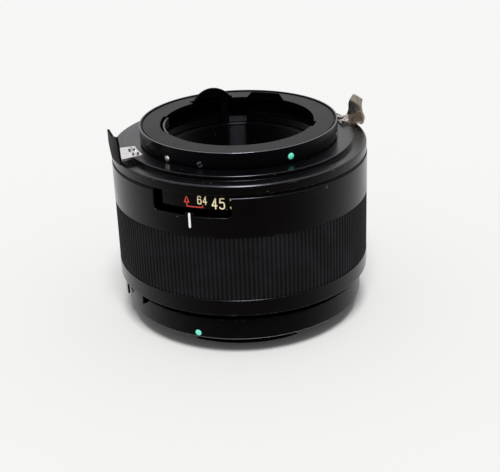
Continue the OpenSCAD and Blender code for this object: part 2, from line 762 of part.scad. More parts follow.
module aperture_collar() {
    bore = journal_r + run_fit;
    hub_r = bar_r - bar_t - free_gap;
    ease = 0.15;
    bevel = 0.55;
    color(satin) difference() {
        union() {
            rotate_extrude() polygon([
                [bore, hub_z0], [hub_r, hub_z0], [hub_r, collar_z0], [collar_r - ease, collar_z0],
                [collar_r, collar_z0 + ease], [collar_r, collar_z1 - bevel],
                [collar_r - bevel, collar_z1], [step_r, collar_z1], [step_r, step_z1 - ease],
                [step_r - ease, step_z1], [bore, step_z1]]);
            arc(tongue_r, tongue_r - tongue_t, collar_z0 - tongue_drop, collar_z0 + 0.5,
                tongue_from, tongue_to);
        }
        for (az = bar_screw_az) {
            post(az, bar_screw_top_r, hub_z0 - past, step_z1 + past, screw_hole_r);
            post(az, bar_screw_top_r, step_z1 - head_t, step_z1 + past, head_r + seat_fit);
        }
        for (az = tab_screw_az)
            post(az, tab_screw_r, step_z1 - tab_shank_h - spare, step_z1 + past, tab_shank_r + seat_fit);
    }
}

// Foot of a coupling tab on the step, pierced for its two screws
module tab_foot(az, half_angle) {
    difference() {
        arc(tab_out_r - tab_t / 2, tab_in_r, step_z1, step_z1 + tab_t, az - half_angle, az + half_angle);
        for (screw_az = tab_screw_az)
            post(screw_az, tab_screw_r, step_z1 - past, step_z1 + tab_t + past, tab_shank_r + seat_fit);
    }
}

// Blade of a coupling tab: a bent strip cut to an outline of sideways distance and height,
// both as parts of the tab's height
module tab_blade(az, parts) {
    outline = [for (p = parts) [p[0] * tab_h, tab_low_z + p[1] * (tab_top_z - tab_low_z)]];
    intersection() {
        arc(tab_out_r, tab_out_r - tab_t, tab_low_z - past, tab_top_z + past, az - 20, az + 20);
        upright(az, tab_out_r - 6, tab_out_r + 3, outline);
    }
}

module coupling_tab_left() {
    color(chrome) union() {
        tab_foot(foot_left_az, 7.4);
        tab_blade(tab_left_az, [[0.62, 0], [0.66, 0.08], [0.58, 0.364], [0.438, 1], [-0.083, 0.886],
            [-0.62, 0.985], [-0.7, 0.53], [-0.4, 0.17], [-0.3, 0]]);
    }
}

module coupling_tab_right() {
    color(chrome) union() {
        tab_foot(foot_right_az, 6);
        tab_blade(tab_right_az, [[-0.53, 0], [-0.735, 0.39], [-0.579, 0.69], [-0.463, 1], [0.274, 0.99],
            [0.571, 0.49], [0.72, 0.05], [0.7, 0]]);
    }
}

module tab_screws() {
    seat_at = step_z1 + tab_t;
    color(chrome) for (az = tab_screw_az)
        headed_post(az, tab_screw_r, step_z1 - tab_shank_h, seat_at, seat_at + tab_head_t,
            tab_shank_r, tab_head_r);
}

// Bent bar that carries the collar's turn down inside the barrel, with a foot at each end
module transfer_bar() {
    bar_to = bar_from + bar_angle;
    color(black) difference() {
        union() {
            arc(bar_r, bar_r - bar_t, coupling_z1, hub_z0, bar_from, bar_to);
            arc(bar_r, core_r + 0.6, hub_z0 - bar_foot_t, hub_z0, bar_from, bar_to);
            arc(bar_r, core_r + 1.2, coupling_z1, coupling_z1 + bar_foot_t, bar_from, bar_to);
        }
        for (az = bar_screw_az) {
            post(az, bar_screw_top_r, hub_z0 - bar_foot_t - past, hub_z0 + past, screw_hole_r);
            post(az, bar_screw_low_r, coupling_z1 - past, coupling_z1 + bar_foot_t + past, screw_hole_r);
        }
    }
}

module transfer_screws() {
    color(chrome) for (az = bar_screw_az) {
        headed_post(az, bar_screw_top_r, hub_z0 - bar_foot_t, step_z1 - head_t, step_z1 - spare,
            screw_r, head_r);
        headed_post(az, bar_screw_low_r, coupling_z1 + bar_foot_t, coupling_z0 + low_head_t,
            coupling_z0 + spare, screw_r, head_r);
    }
}

// Ring in the slot above the rear mount ring: a skirt closes part of the slot, and a lug hangs out
module rear_coupling_ring() {
    ring_r = barrel_bore_r - free_gap;
    skirt_z0 = rear_ring_z1 + free_gap;
    lug_r0 = rear_r + free_gap + 0.1;
    lug_r1 = lug_r0 + 0.55;
    lug_z1 = barrel_z0 - free_gap - 0.1;
    lug_z0 = barrel_z0 - 4.8;
    color(satin) difference() {
        union() {
            tube(ring_r, core_r + run_fit, coupling_z0, coupling_z1);
            arc(ring_r, ring_r - 1.3, skirt_z0, coupling_z0 + 0.5, 147, 213);
            arc(lug_r1, ring_r - 1.0, skirt_z0, lug_z1, 180, 195);
            arc(lug_r1, lug_r0, lug_z0, lug_z1, 180, 195);
        }
        for (az = bar_screw_az) {
            post(az, bar_screw_low_r, coupling_z0 - past, coupling_z1 + past, screw_hole_r);
            post(az, bar_screw_low_r, coupling_z0 - past, coupling_z0 + low_head_t, head_r + seat_fit);
        }
    }
}

module stop_down_ring() {
    color(black) tube(stop_ring_r, cell_r + run_fit, stop_ring_z0, stop_ring_z1);
}

// Flat lever whose half-round head stands over the flange
module stop_down_paddle() {
    head_z0 = flange_z1 + 0.1;
    head_z1 = flange_z1 + paddle_h;
    half_w = paddle_out_r * sin(lever_angle / 2);
    reach = 5;
    stem = [[-half_w, stop_ring_z1], [half_w, stop_ring_z1], [half_w, head_z0 + 0.5],
        [-half_w, head_z0 + 0.5]];
    color(black) intersection() {
        arc(paddle_out_r, paddle_out_r - paddle_t, stop_ring_z1 - past, head_z1 + past,
            paddle_az - 30, paddle_az + 30);
        union() {
            upright(lever_from + lever_angle / 2, paddle_out_r - reach, paddle_out_r + reach, stem);
            intersection() {
                spoke(paddle_az, head_z1 - paddle_r, paddle_out_r - reach, paddle_out_r + reach, paddle_r);
                tube(paddle_out_r + 2 * reach, paddle_out_r - 2 * reach, head_z0, head_z1 + past);
            }
        }
    }
}

module stop_down_lever() {
    foot_z = 1.0;
    color(black)
        arc(lever_r, lever_r - lever_t, foot_z, stop_ring_z0, lever_from, lever_from + lever_angle);
}

outer_barrel();
rubber_grip();
barrel_screws();
core_tube();
front_bayonet();
flange_screws();
bayonet_stop_screw();
bayonet_leaf_spring();
index_beads();
lens_cell();
front_baffle();
cell_screws();
front_convex_glass();
front_concave_glass();
front_cemented_glass();
rear_meniscus_glass();
rear_convex_glass();
rear_field_glass();
front_spacer();
middle_spacer();
rear_spacer();
front_retaining_ring();
rear_retaining_ring();
stop_ring_clip();
spring_post();
stop_down_spring();
rear_mount_ring();
rear_bayonet();
rear_screws();
aperture_collar();
coupling_tab_left();
coupling_tab_right();
tab_screws();
transfer_bar();
transfer_screws();
rear_coupling_ring();
stop_down_ring();
stop_down_paddle();
stop_down_lever();
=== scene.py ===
"""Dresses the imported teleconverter: smooth turned shells over its solids, finishes, scale and stage."""

import bpy
import numpy as np
from bpy.props import FloatProperty, FloatVectorProperty, IntProperty, PointerProperty
from mathutils import Matrix, Vector


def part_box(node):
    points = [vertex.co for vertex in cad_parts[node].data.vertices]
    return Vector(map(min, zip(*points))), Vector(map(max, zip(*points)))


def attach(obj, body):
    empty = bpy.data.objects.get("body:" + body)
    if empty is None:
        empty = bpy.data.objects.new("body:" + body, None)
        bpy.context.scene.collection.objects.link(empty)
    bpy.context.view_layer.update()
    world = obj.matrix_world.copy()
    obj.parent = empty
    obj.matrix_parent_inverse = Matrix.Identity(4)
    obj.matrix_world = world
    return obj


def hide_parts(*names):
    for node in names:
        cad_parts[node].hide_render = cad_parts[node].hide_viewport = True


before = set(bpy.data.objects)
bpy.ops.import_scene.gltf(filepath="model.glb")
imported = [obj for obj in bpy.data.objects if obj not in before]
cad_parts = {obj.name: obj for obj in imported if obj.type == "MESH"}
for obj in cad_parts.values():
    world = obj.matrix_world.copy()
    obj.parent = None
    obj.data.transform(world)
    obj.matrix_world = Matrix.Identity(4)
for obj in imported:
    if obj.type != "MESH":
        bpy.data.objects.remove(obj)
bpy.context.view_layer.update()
STEP = 1.5  # degrees from one column of a turned surface to the next
FINISHES = {}

bl_info = {
    "name": "Teleconverter dressing",
    "version": (1, 0, 0),
    "blender": (4, 5, 0),
    "location": "View3D > Sidebar > Converter",
    "description": "Surfaces, finishes, scale and studio for a teleconverter",
    "category": "Object",
}


def linear(code):
    """A hex colour as four linear numbers: the sRGB curve undone, with full opacity."""
    c = np.array([int(code[i:i + 2], 16) for i in (1, 3, 5)]) / 255
    return (*np.where(c <= 0.04045, c / 12.92, ((c + 0.055) / 1.055) ** 2.4).tolist(), 1.0)


def reach(node):
    """A node's outer radius in millimetres."""
    least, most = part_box(node)
    return 1000 * max(most.x, most.y, -least.x, -least.y)


def low(node):
    """The height of a node's lowest point in millimetres."""
    return 1000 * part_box(node)[0].z


def top(node):
    """The height of a node's highest point in millimetres."""
    return 1000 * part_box(node)[1].z


def length(name, text, millimetres):
    """A property that holds a length, given here in millimetres."""
    return FloatProperty(name=name, description=text, default=millimetres / 1000, min=0, unit="LENGTH",
                         precision=5)


def angle(name, text, degrees):
    """A property that holds an azimuth or an angle, given here in degrees."""
    return FloatProperty(name=name, description=text, default=np.radians(degrees), unit="ROTATION")


def colour(name, text, code):
    """A property that holds a colour, given here as sRGB hex."""
    return FloatVectorProperty(name=name, description=text, default=linear(code), size=4, min=0, max=1,
                               subtype="COLOR")


class ConverterSizes(bpy.types.PropertyGroup):
    """Sizes of the surfaces, taken from the solids."""

    barrel_bore: length("Barrel bore", "Inner radius of the outer barrel", 30.3)
    window_bore: length("Window bore", "Inner radius of the barrel's thin upper wall", 31.5)
    grip_seat: length("Grip seat", "Radius of the seat under the rubber grip", 31.3)
    rib_depth: length("Rib depth", "Depth of the grooves between the grip's ribs", 0.4)
    rib_count: IntProperty(name="Ribs", description="Number of ribs round the grip", default=186, min=12)
    window_from: angle("Window start", "Azimuth of the scale window's first side", -129.8)
    window_to: angle("Window end", "Azimuth of the scale window's second side", -94.3)
    window_depth: length("Window depth", "Depth of the scale window below the barrel's edge", 4.85)
    window_corner: length("Window corner", "Corner radius of the scale window", 1.0)
    lip_h: length("Lip", "Height of the lip inside the barrel's top edge", 0.3)
    index_az: angle("Index", "Azimuth of the index line", -112.3)
    step_r: length("Step", "Outer radius of the step on the collar", 28.84)
    collar_h: length("Collar wall", "Height of the collar's outer wall", 2.35)
    step_h: length("Step height", "Height of the step over the collar's shelf", 1.15)
    tongue_r: length("Tongue", "Outer radius of the scale tongue", 31.3)
    socket_r: length("Socket", "Radius of the opening in the bayonet plate", 18.95)
    rim_w: length("Rim width", "Width of the narrow rim round the bayonet plate", 0.6)
    rim_h: length("Rim height", "Height of the narrow rim over the bayonet plate", 0.2)
    plate_t: length("Plate", "Thickness of the bayonet plate", 1.4)
    entry_r: length("Entry gap", "Radius that the wide entry gap reaches", 23.35)
    numeral_h: length("Numerals", "Height of the scale's numerals", 2.5)
    numeral_step: angle("Numeral spacing", "Angle from one numeral of the scale to the next", 7.85)


class ConverterColours(bpy.types.PropertyGroup):
    """Colours of the finishes."""

    satin: colour("Barrel", "Blasted and anodised aluminium of the barrel", "#060505")
    turned: colour("Flange", "Turned and lacquered metal of the flange", "#070608")
    rubber: colour("Grip", "Moulded rubber of the grip", "#060608")
    matt: colour("Inside", "Matt black lacquer of the inside", "#030304")
    nickel: colour("Plating", "Nickel plate of tabs and screws", "#E2DEDF")
    mint: colour("Bead", "Enamel of the index beads", "#7FFFE2")
    cream: colour("Numerals", "Ink of the numerals", "#FFEFC0")
    red: colour("Bracket", "Ink of the automatic setting's marks", "#D2382E")
    white: colour("Index line", "Ink of the index line", "#FFFFFD")
    floor: colour("Floor", "Paper that the part stands on", "#F3F3F2")


class StudioSettings(bpy.types.PropertyGroup):
    """Light and camera."""

    sun: FloatProperty(name="Lamp", description="Strength of the soft lamp over the camera", default=2.35,
                       min=0)
    sun_size: angle("Lamp size", "Angle that the soft lamp covers", 19)
    fill: FloatProperty(name="Fill", description="Strength of the light from all round", default=0.36,
                        min=0)
    white: FloatProperty(name="Backdrop", description="Brightness of the backdrop", default=0.915, min=0)
    lens: FloatProperty(name="Lens", description="Focal length of the camera on a 36 mm wide frame",
                        default=81.07)


def mm(value):
    """A stored length in millimetres."""
    return 1000 * value


def deg(value):
    """A stored angle in degrees."""
    return np.degrees(value)


# Surfaces


def rounded(corners, cut):
    """Softens the corners of closed outlines, an array of (..., corner, 2).

    Each corner becomes a parabola: corner + cut * ((1-t)^2 * back + t^2 * on), where back and on
    are unit vectors along its two edges and t runs from 0 to 1. A guard point on each edge, just
    past the parabola, keeps the shading of the flat next to it flat. Also returns a weight for each
    point, which is 1 on the outward corners, where handling wears a finish.
    """
    steps, guard, cut_share, guard_share, full_wear = 4, 0.06, 0.4, 0.46, 0.15
    corners = np.asarray(corners, float)
    back = np.roll(corners, 1, -2) - corners
    on = np.roll(corners, -1, -2) - corners
    back_len = np.linalg.norm(back, axis=-1, keepdims=True)
    on_len = np.linalg.norm(on, axis=-1, keepdims=True)
    short = np.minimum(back_len, on_len)
    back, on = back / np.maximum(back_len, 1e-9), on / np.maximum(on_len, 1e-9)
    cut = np.minimum(np.broadcast_to(np.asarray(cut, float)[..., None], short.shape), cut_share * short)
    t = np.linspace(0, 1, steps)[:, None]
    bend = (1 - t) ** 2 * back[..., None, :] + t ** 2 * on[..., None, :]
    curve = corners[..., None, :] + cut[..., None, :] * bend
    first = corners + back * np.minimum(cut + guard, guard_share * back_len)
    last = corners + on * np.minimum(cut + guard, guard_share * on_len)
    points = np.concatenate([first[..., None, :], curve, last[..., None, :]], -2)
    outward = (on[..., 0] * back[..., 1] - on[..., 1] * back[..., 0]) > 0.2
    wear = np.zeros(points.shape[:-1])
    wear[..., 1:-1] = outward[..., None] * np.clip(cut[..., 0] / full_wear, 0, 1)[..., None]
    flat = (*points.shape[:-3], -1)
    return points.reshape(*flat, 2), wear.reshape(*flat)


def columns(*edges):
    """Azimuths a step apart, with two close together at each edge, so that a wall can stand there."""
    apart = 1e-3
    close = [(e + 180) % 360 - 180 + d for e in edges for d in (-apart, apart)]
    return np.unique(np.concatenate([np.arange(-180, 180, STEP), close]))


def between(azimuths, start, stop):
    """Whether each azimuth lies in a stretch, which may run on past 180 degrees."""
    past = (azimuths - start) % 360
    return (past > 0) & (past < stop - start)


def tiles(m, n, round_m, round_n, flip=False):
    """Four-sided faces of a grid of m by n points, which may close on itself either way."""
    i = np.arange(m if round_m else m - 1)[:, None]
    j = np.arange(n if round_n else n - 1)
    on, up = (i + 1) % m, (j + 1) % n
    corners = [i * n + j, on * n + j, on * n + up, i * n + up]
    if flip:
        corners = [corners[0], *corners[:0:-1]]
    return np.stack(corners, -1).reshape(-1, 4)


def band(azimuths, outline, wear=None):
    """An outline of (radius, height) carried round the axis: x = r cos a, y = r sin a, z = height.

    The outline is one closed loop, or one for each azimuth. Azimuths that cover the whole turn close
    on themselves, and others get a flat end at each side.
    """
    a = np.radians(azimuths)[:, None]
    outline = np.broadcast_to(outline, (len(azimuths), *outline.shape[-2:]))
    r, z = outline[..., 0], outline[..., 1]
    m, n = r.shape
    points = np.stack([r * np.cos(a), r * np.sin(a), z], -1).reshape(-1, 3)
    whole = azimuths[-1] - azimuths[0] > 350
    ends = [] if whole else [np.arange(n), np.arange(m * n - 1, (m - 1) * n - 1, -1)]
    wear = np.zeros((m, n)) if wear is None else np.broadcast_to(wear, (m, n))
    return points, tiles(m, n, whole, True), ends, wear.reshape(-1)


def loops(azimuths, places):
    """A closed outline for each azimuth, from radii and heights that are one number or one for each."""
    level = np.ones_like(azimuths)
    return np.stack([np.stack([r * level, z * level], -1) for r, z in places], 1)


def swept(azimuths, places, cut):
    """A band of such outlines with soft corners, cut by one length or one for each corner."""
    return band(azimuths, *rounded(loops(azimuths, places), cut))


def turned(places, cut):
    """A turned ring: a closed outline with soft corners carried right round the axis."""
    return swept(columns(), places, cut)


def oblong(r0, r1, z0, z1):
    """The corners of a rectangle of radius and height."""
    return [(r0, z0), (r1, z0), (r1, z1), (r0, z1)]


def block(r0, r1, z0, z1, start, stop, cut, step=STEP):
    """A curved bar: a rectangle of radius and height carried from one azimuth to another."""
    azimuths = np.linspace(start, stop, max(2, round((stop - start) / step) + 1))
    return swept(azimuths, oblong(r0, r1, z0, z1), cut)


def dished(r, clear, z0, z1, over, under):
    """A glass: for each radius, its lower and upper face, carried round the axis and closed at the poles.

    Inside the clear radius each face is part of a sphere, sag = R - sqrt(R^2 - rho^2), measured from
    the seat. A positive sphere bulges out, and a negative one is hollow.
    """
    soft, rows, column = 0.25, 24, 2.5
    rho = clear * np.linspace(1, 0, rows)[:-1]

    def bulge(ball):
        return np.sign(ball) * (np.sqrt(ball ** 2 - rho ** 2) - np.sqrt(ball ** 2 - clear ** 2))

    upper = np.stack([rho, z1 + bulge(over)], -1)
    lower = np.stack([rho, z0 - bulge(under)], -1)[::-1]
    wall = [[r - soft, z0], [r, z0 + soft], [r, z1 - soft], [r - soft, z1]]
    line, z = np.concatenate([lower, wall, upper]).T
    a = np.radians(np.arange(0, 360, column))[:, None]
    m, n = len(a), len(line)
    ring = np.stack([line * np.cos(a), line * np.sin(a), np.broadcast_to(z, (m, n))], -1)
    pole = [[0, 0, z[0] - (z[1] - z[0]) / 2], [0, 0, z[-1] + (z[-1] - z[-2]) / 2]]
    k = np.arange(m)
    fans = [*np.stack([np.full(m, m * n), (k + 1) % m * n, k * n], -1),
            *np.stack([np.full(m, m * n + 1), k * n + n - 1, (k + 1) % m * n + n - 1], -1)]
    points = np.concatenate([ring.reshape(-1, 3), pole])
    return points, tiles(m, n, True, False), fans, np.zeros(len(points))


def button(place, radius, dome, slots=(), slot_w=0.3):
    """A round head on a polar grid: height = dome * (1 - rho^2), with a ditch for each driver slot.

    The place is a point and three axes: right, up and out. A slot's ditch is the slot's depth where
    the distance across it is under half its width, and its sides slope over a fifth of that width.
    """
    slot_d, sink, edge_drop = 0.25, 0.3, 0.03
    origin, right, up, out = place
    rho = np.concatenate([[1, 1], np.linspace(0.97, 0.02, 22)])[:, None]
    a = np.linspace(0, 2 * np.pi, 72, endpoint=False)
    u, v = radius * rho * np.cos(a), radius * rho * np.sin(a)
    h = dome * (1 - rho ** 2) + 0 * u
    for turn in np.radians(slots):
        off = np.abs(v * np.cos(turn) - u * np.sin(turn))
        h = h - slot_d * np.clip((slot_w / 2 - off) / (0.2 * slot_w) + 0.5, 0, 1)
    h[0] = -sink
    h[1] = np.minimum(h[1], -edge_drop)
    points = origin + u[..., None] * right + v[..., None] * up + h[..., None] * out
    m, n = u.shape
    wear = np.zeros((m, n))
    # the outer rows carry the edge weight: worn metal on a screw head, and painted shade on the rim of an
    # enamel bead
    wear[1:4] = 1
    caps = [np.arange((m - 1) * n, m * n), np.arange(n)[::-1]]
    return points.reshape(-1, 3), tiles(m, n, False, True, flip=True), caps, wear.reshape(-1)


def on_wall(az, z, r):
    """Place and axes of something that sits on a round wall: point, sideways, up and out."""
    a = np.radians(az)
    out = np.array([np.cos(a), np.sin(a), 0])
    return r * out + [0, 0, z], np.array([-np.sin(a), np.cos(a), 0]), np.array([0, 0, 1.0]), out


def on_shelf(az, z, r):
    """Place and axes of something that lies on a level face: point, sideways, inwards and up."""
    point, side, up, out = on_wall(az, z, r)
    return point, side, -out, up


def ribbon(path, half, az, z, r, smooth=2):
    """A line of ink on a round wall: a flat strip with round ends carried along a path.

    The path is points of sideways distance and height in millimetres. Its inner corners are cut at
    a quarter and three quarters of each edge, again and again, which turns them into curves. The
    half width is sqrt(half^2 - d^2) at the ends, where d is the distance into the end.
    """
    lift, pitch = 0.03, 0.06
    p = np.asarray(path, float)
    for _ in range(smooth):
        a, b = p[:-1], p[1:]
        inner = np.stack([0.75 * a + 0.25 * b, 0.25 * a + 0.75 * b], 1).reshape(-1, 2)
        p = np.concatenate([p[:1], inner, p[-1:]])
    p = p[np.concatenate([[True], np.linalg.norm(np.diff(p, axis=0), axis=1) > 1e-6])]
    first, last = [d / np.linalg.norm(d) for d in (p[0] - p[1], p[-1] - p[-2])]
    p = np.concatenate([[p[0] + half * first], p, [p[-1] + half * last]])
    s = np.concatenate([[0], np.cumsum(np.linalg.norm(np.diff(p, axis=0), axis=1))])
    tip = half * (1 - np.cos(np.linspace(0.08, np.pi / 2, 6)))
    body = np.linspace(half, s[-1] - half, max(3, int((s[-1] - 2 * half) / pitch)))
    at = np.unique(np.concatenate([tip, body, s[-1] - tip]))
    p = np.stack([np.interp(at, s, p[:, 0]), np.interp(at, s, p[:, 1])], -1)
    along = np.gradient(p, axis=0)
    along /= np.linalg.norm(along, axis=1, keepdims=True)
    side = np.stack([-along[:, 1], along[:, 0]], -1)
    d = np.clip(half - np.minimum(at, s[-1] - at), 0, half)
    width = np.sqrt(np.maximum(half ** 2 - d ** 2, 1e-6))[:, None]
    layers = [(1, -lift), (0.9, lift), (-0.9, lift), (-1, -lift)]
    flat = np.stack([p + k * width * side for k, _ in layers], 1)
    a = np.radians(az) + flat[..., 0] / r
    rr = r + np.array([h for _, h in layers])
    points = np.stack([rr * np.cos(a), rr * np.sin(a), z + flat[..., 1]], -1)
    m, n = a.shape
    caps = [np.arange(n)[::-1], np.arange((m - 1) * n, m * n)]
    return points.reshape(-1, 3), tiles(m, n, False, True, flip=True), caps, np.zeros(m * n)


def across(centre):
    """The distance of each face's centre from the axis."""
    return np.hypot(centre[:, 0], centre[:, 1])


def leaning(centre, normal):
    """The faces that lean up or down: shelves and rounded edges, but not walls."""
    return np.abs(normal[:, 2]) > 0.2


def beyond(radius):
    """A test for the leaning faces outside a radius."""
    return lambda centre, normal: leaning(centre, normal) & (across(centre) > radius)


def piece(name, shells, finish, body, slot, *nodes, sharp=32, coats=()):
    """Joins shells, given in millimetres, into one object that rides on a body and stands for nodes.

    Each coat is a second finish and the test, of centres and normals, that picks out its faces.
    """
    points, faces, wear, count = [], [], [], 0
    for p, quads, others, w in shells:
        points.append(p)
        wear.append(w)
        faces += (quads + count).tolist() + [(f + count).tolist() for f in others]
        count += len(p)
    mesh = bpy.data.meshes.new(name)
    mesh.from_pydata((np.concatenate(points) / 1000).tolist(), [], faces)
    weight = mesh.attributes.new("edge", "FLOAT", "POINT")
    weight.data.foreach_set("value", np.concatenate(wear).astype(np.float32))
    mesh.shade_smooth()
    mesh.set_sharp_from_angle(angle=np.radians(sharp))
    mesh.materials.append(FINISHES[finish])
    centre, normal = np.empty((2, len(mesh.polygons), 3), np.float32)
    mesh.polygons.foreach_get("center", centre.ravel())
    mesh.polygons.foreach_get("normal", normal.ravel())
    index = np.zeros(len(mesh.polygons), np.int32)
    for i, (coat, test) in enumerate(coats):
        mesh.materials.append(FINISHES[coat])
        index[test(1000 * centre, normal)] = i + 1
    mesh.polygons.foreach_set("material_index", index)
    made = bpy.data.objects.new(name, mesh)
    bpy.context.scene.collection.objects.link(made)
    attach(made, body)
    if nodes:
        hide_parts(*nodes)
    return made


def dress(finish, *nodes):
    """Gives CAD nodes a finish."""
    for name in nodes:
        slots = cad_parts[name].data.materials
        slots.clear()
        slots.append(FINISHES[finish])


# Finishes


def add(material, kind, inputs=None, **settings):
    """Adds a node. An input is a value, another node's output, or a node whose first output it takes."""
    tree = material.node_tree
    made = tree.nodes.new(kind)
    for key, value in settings.items():
        setattr(made, key, value)
    for key, value in (inputs or {}).items():
        source = value.outputs[0] if isinstance(value, bpy.types.Node) else value
        if isinstance(source, bpy.types.NodeSocket):
            tree.links.new(source, made.inputs[key])
        else:
            made.inputs[key].default_value = source
    return made


def blank(name):
    """A new material without nodes but one for the object's own coordinates, which it also returns."""
    material = bpy.data.materials.new(name)
    material.use_nodes = True
    material.node_tree.nodes.clear()
    return material, add(material, "ShaderNodeTexCoord").outputs["Object"]


def noise(material, place, size, detail, roughness=0.5):
    """A noise whose features are this many millimetres across."""
    return add(material, "ShaderNodeTexNoise", {
        "Vector": place, "Scale": 1000 / size, "Detail": detail, "Roughness": roughness})


def ramp(material, value, start, stop, first=0.0, last=1.0):
    """Goes from the first number to the last one while a value goes from start to stop."""
    return add(material, "ShaderNodeMapRange", {
        "Value": value, "From Min": start, "From Max": stop, "To Min": first, "To Max": last})


def times(material, a, b):
    """The product of two values."""
    return add(material, "ShaderNodeMath", {0: a, 1: b}, operation="MULTIPLY")


def shaded(material, base, factor):
    """A colour made darker or lighter by a factor."""
    return add(material, "ShaderNodeVectorMath", {0: base[:3], "Scale": factor}, operation="SCALE")


def blend(material, factor, first, second):
    """One colour that turns into another as a factor goes from 0 to 1."""
    inputs = {"Factor": factor, "A": first, "B": second}
    return add(material, "ShaderNodeMix", inputs, data_type="RGBA").outputs["Result"]


def edges(material):
    """The weight that the surfaces carry on their edges."""
    return add(material, "ShaderNodeAttribute", attribute_name="edge").outputs["Fac"]


def bump(material, height, strength, microns, **under):
    """A relief of this depth, over another one if that is given as Normal."""
    return add(material, "ShaderNodeBump", {
        "Height": height, "Strength": strength, "Distance": microns / 1e6, **under})


def close(material, inputs):
    """Ends a material with a shader of these inputs."""
    shader = add(material, "ShaderNodeBsdfPrincipled", inputs)
    add(material, "ShaderNodeOutputMaterial", {"Surface": shader})
    return material


def black_metal(name, base, rough, level, grain, lathe=0.0, wear=0.2, dust=0.5, facing="#FFFFFF",
                relief=0.16):
    """Black finish on metal: a grain or fine lathe rings, uneven gloss, bright worn edges and dust.

    Worn metal is the edge weight times a noise that has passed a threshold. Lathe rings are a noise
    of only radius and height, so they run round the axis on walls and on faces. The facing colour
    tints what is reflected straight back, and leaves what is reflected at a low angle white.
    """
    m, place = blank(name)
    mottle = noise(m, place, 9, 4)
    rubbed = ramp(m, noise(m, place, 1.6, 5, 0.65), 0.56, 0.70)
    bare = times(m, times(m, edges(m), rubbed), wear)
    apart = 2.3  # millimetres from speck to speck
    speck = add(m, "ShaderNodeTexVoronoi", {"Vector": place, "Scale": 1000 / apart, "Randomness": 1.0})
    spot = ramp(m, speck.outputs["Distance"], 0.075, 0.045)
    lint = times(m, spot, ramp(m, mottle, 0.5, 0.62, 0, dust))
    tone = shaded(m, base, ramp(m, mottle, 0.3, 0.7, 0.85, 1.2))
    metal = blend(m, bare, tone, linear("#8F8B86"))
    slope = bump(m, noise(m, place, grain, 2), relief, 40)
    if lathe:
        flat = add(m, "ShaderNodeVectorMath", {0: place, 1: (1, 1, 0)}, operation="MULTIPLY")
        radius = add(m, "ShaderNodeVectorMath", {0: flat}, operation="LENGTH").outputs["Value"]
        height = add(m, "ShaderNodeSeparateXYZ", {0: place}).outputs["Z"]
        rings = add(m, "ShaderNodeCombineXYZ", {0: radius, 1: height})
        slope = bump(m, noise(m, rings, lathe, 1), 0.14, 30, Normal=slope)
    return close(m, {
        "Base Color": blend(m, lint, metal, linear("#9A9894")), "Metallic": bare, "Normal": slope,
        "Roughness": ramp(m, mottle, 0.3, 0.7, rough - 0.05, rough + 0.06),
        "Specular IOR Level": level, "Specular Tint": linear(facing)})


def moulded_rubber(name, base):
    """Moulded rubber: a dull black skin, dusty in patches, with a painted highlight on the crowns of the
    ribs, a pebbled bump and a faint sheen.
    """
    m, place = blank(name)
    dusty = ramp(m, noise(m, place, 7, 5, 0.6), 0.45, 0.75, 0, 0.09)
    # painted highlight: where the edge weight is 1, on the crowns of the ribs, the rubber is lightened a
    # little, over the dusty patches
    crown = add(m, "ShaderNodeMath", {0: edges(m), 1: 0.045, 2: dusty}, operation="MULTIPLY_ADD")
    return close(m, {
        "Base Color": blend(m, crown, base, linear("#4A4B52")), "Roughness": 0.72,
        "Specular IOR Level": 0.12, "Sheen Weight": 0.02, "Sheen Roughness": 0.4,
        "Normal": bump(m, noise(m, place, 0.25, 3), 0.3, 50)})


def plated_metal(name, base, rough, tarnish):
    """Nickel plate on stamped or turned steel: bright, with brown tarnish in patches and fine rub marks."""
    m, place = blank(name)
    brown = ramp(m, noise(m, place, 1.8, 5, 0.6), 0.48, 0.72, 0, tarnish)
    stretch = add(m, "ShaderNodeMapping", {"Vector": place, "Scale": (1, 1, 0.12)})
    rub = noise(m, stretch, 0.12, 2)
    return close(m, {
        "Base Color": blend(m, brown, base, linear("#4A3A2C")), "Metallic": 1.0,
        "Roughness": ramp(m, rub, 0.3, 0.7, rough - 0.08, rough + 0.1), "Normal": bump(m, rub, 0.08, 20)})


def coated_glass(name):
    """Polished optical glass under a thin coat: clear, with a faint tinted reflection and a little dust."""
    m, place = blank(name)
    return close(m, {
        "Base Color": linear("#EEF4F2"), "IOR": 1.62, "Transmission Weight": 1.0,
        "Roughness": ramp(m, noise(m, place, 0.5, 3), 0.62, 0.8, 0, 0.12),
        "Thin Film Thickness": 210.0, "Thin Film IOR": 1.38})


def ink(name, base, rough=0.45, rim=None):
    """Ink or enamel filled into a mark: an even colour, a little thin in places, with a soft gloss.

    A rim colour takes over where the edge weight is high, which on a dome paints shade on its rim.
    """
    m, place = blank(name)
    thin = noise(m, place, 0.4, 3)
    tone = shaded(m, base, ramp(m, thin, 0.35, 0.65, 0.86, 1.0))
    return close(m, {
        "Base Color": blend(m, edges(m), tone, rim or base), "Roughness": rough,
        "Normal": bump(m, thin, 0.1, 30)})


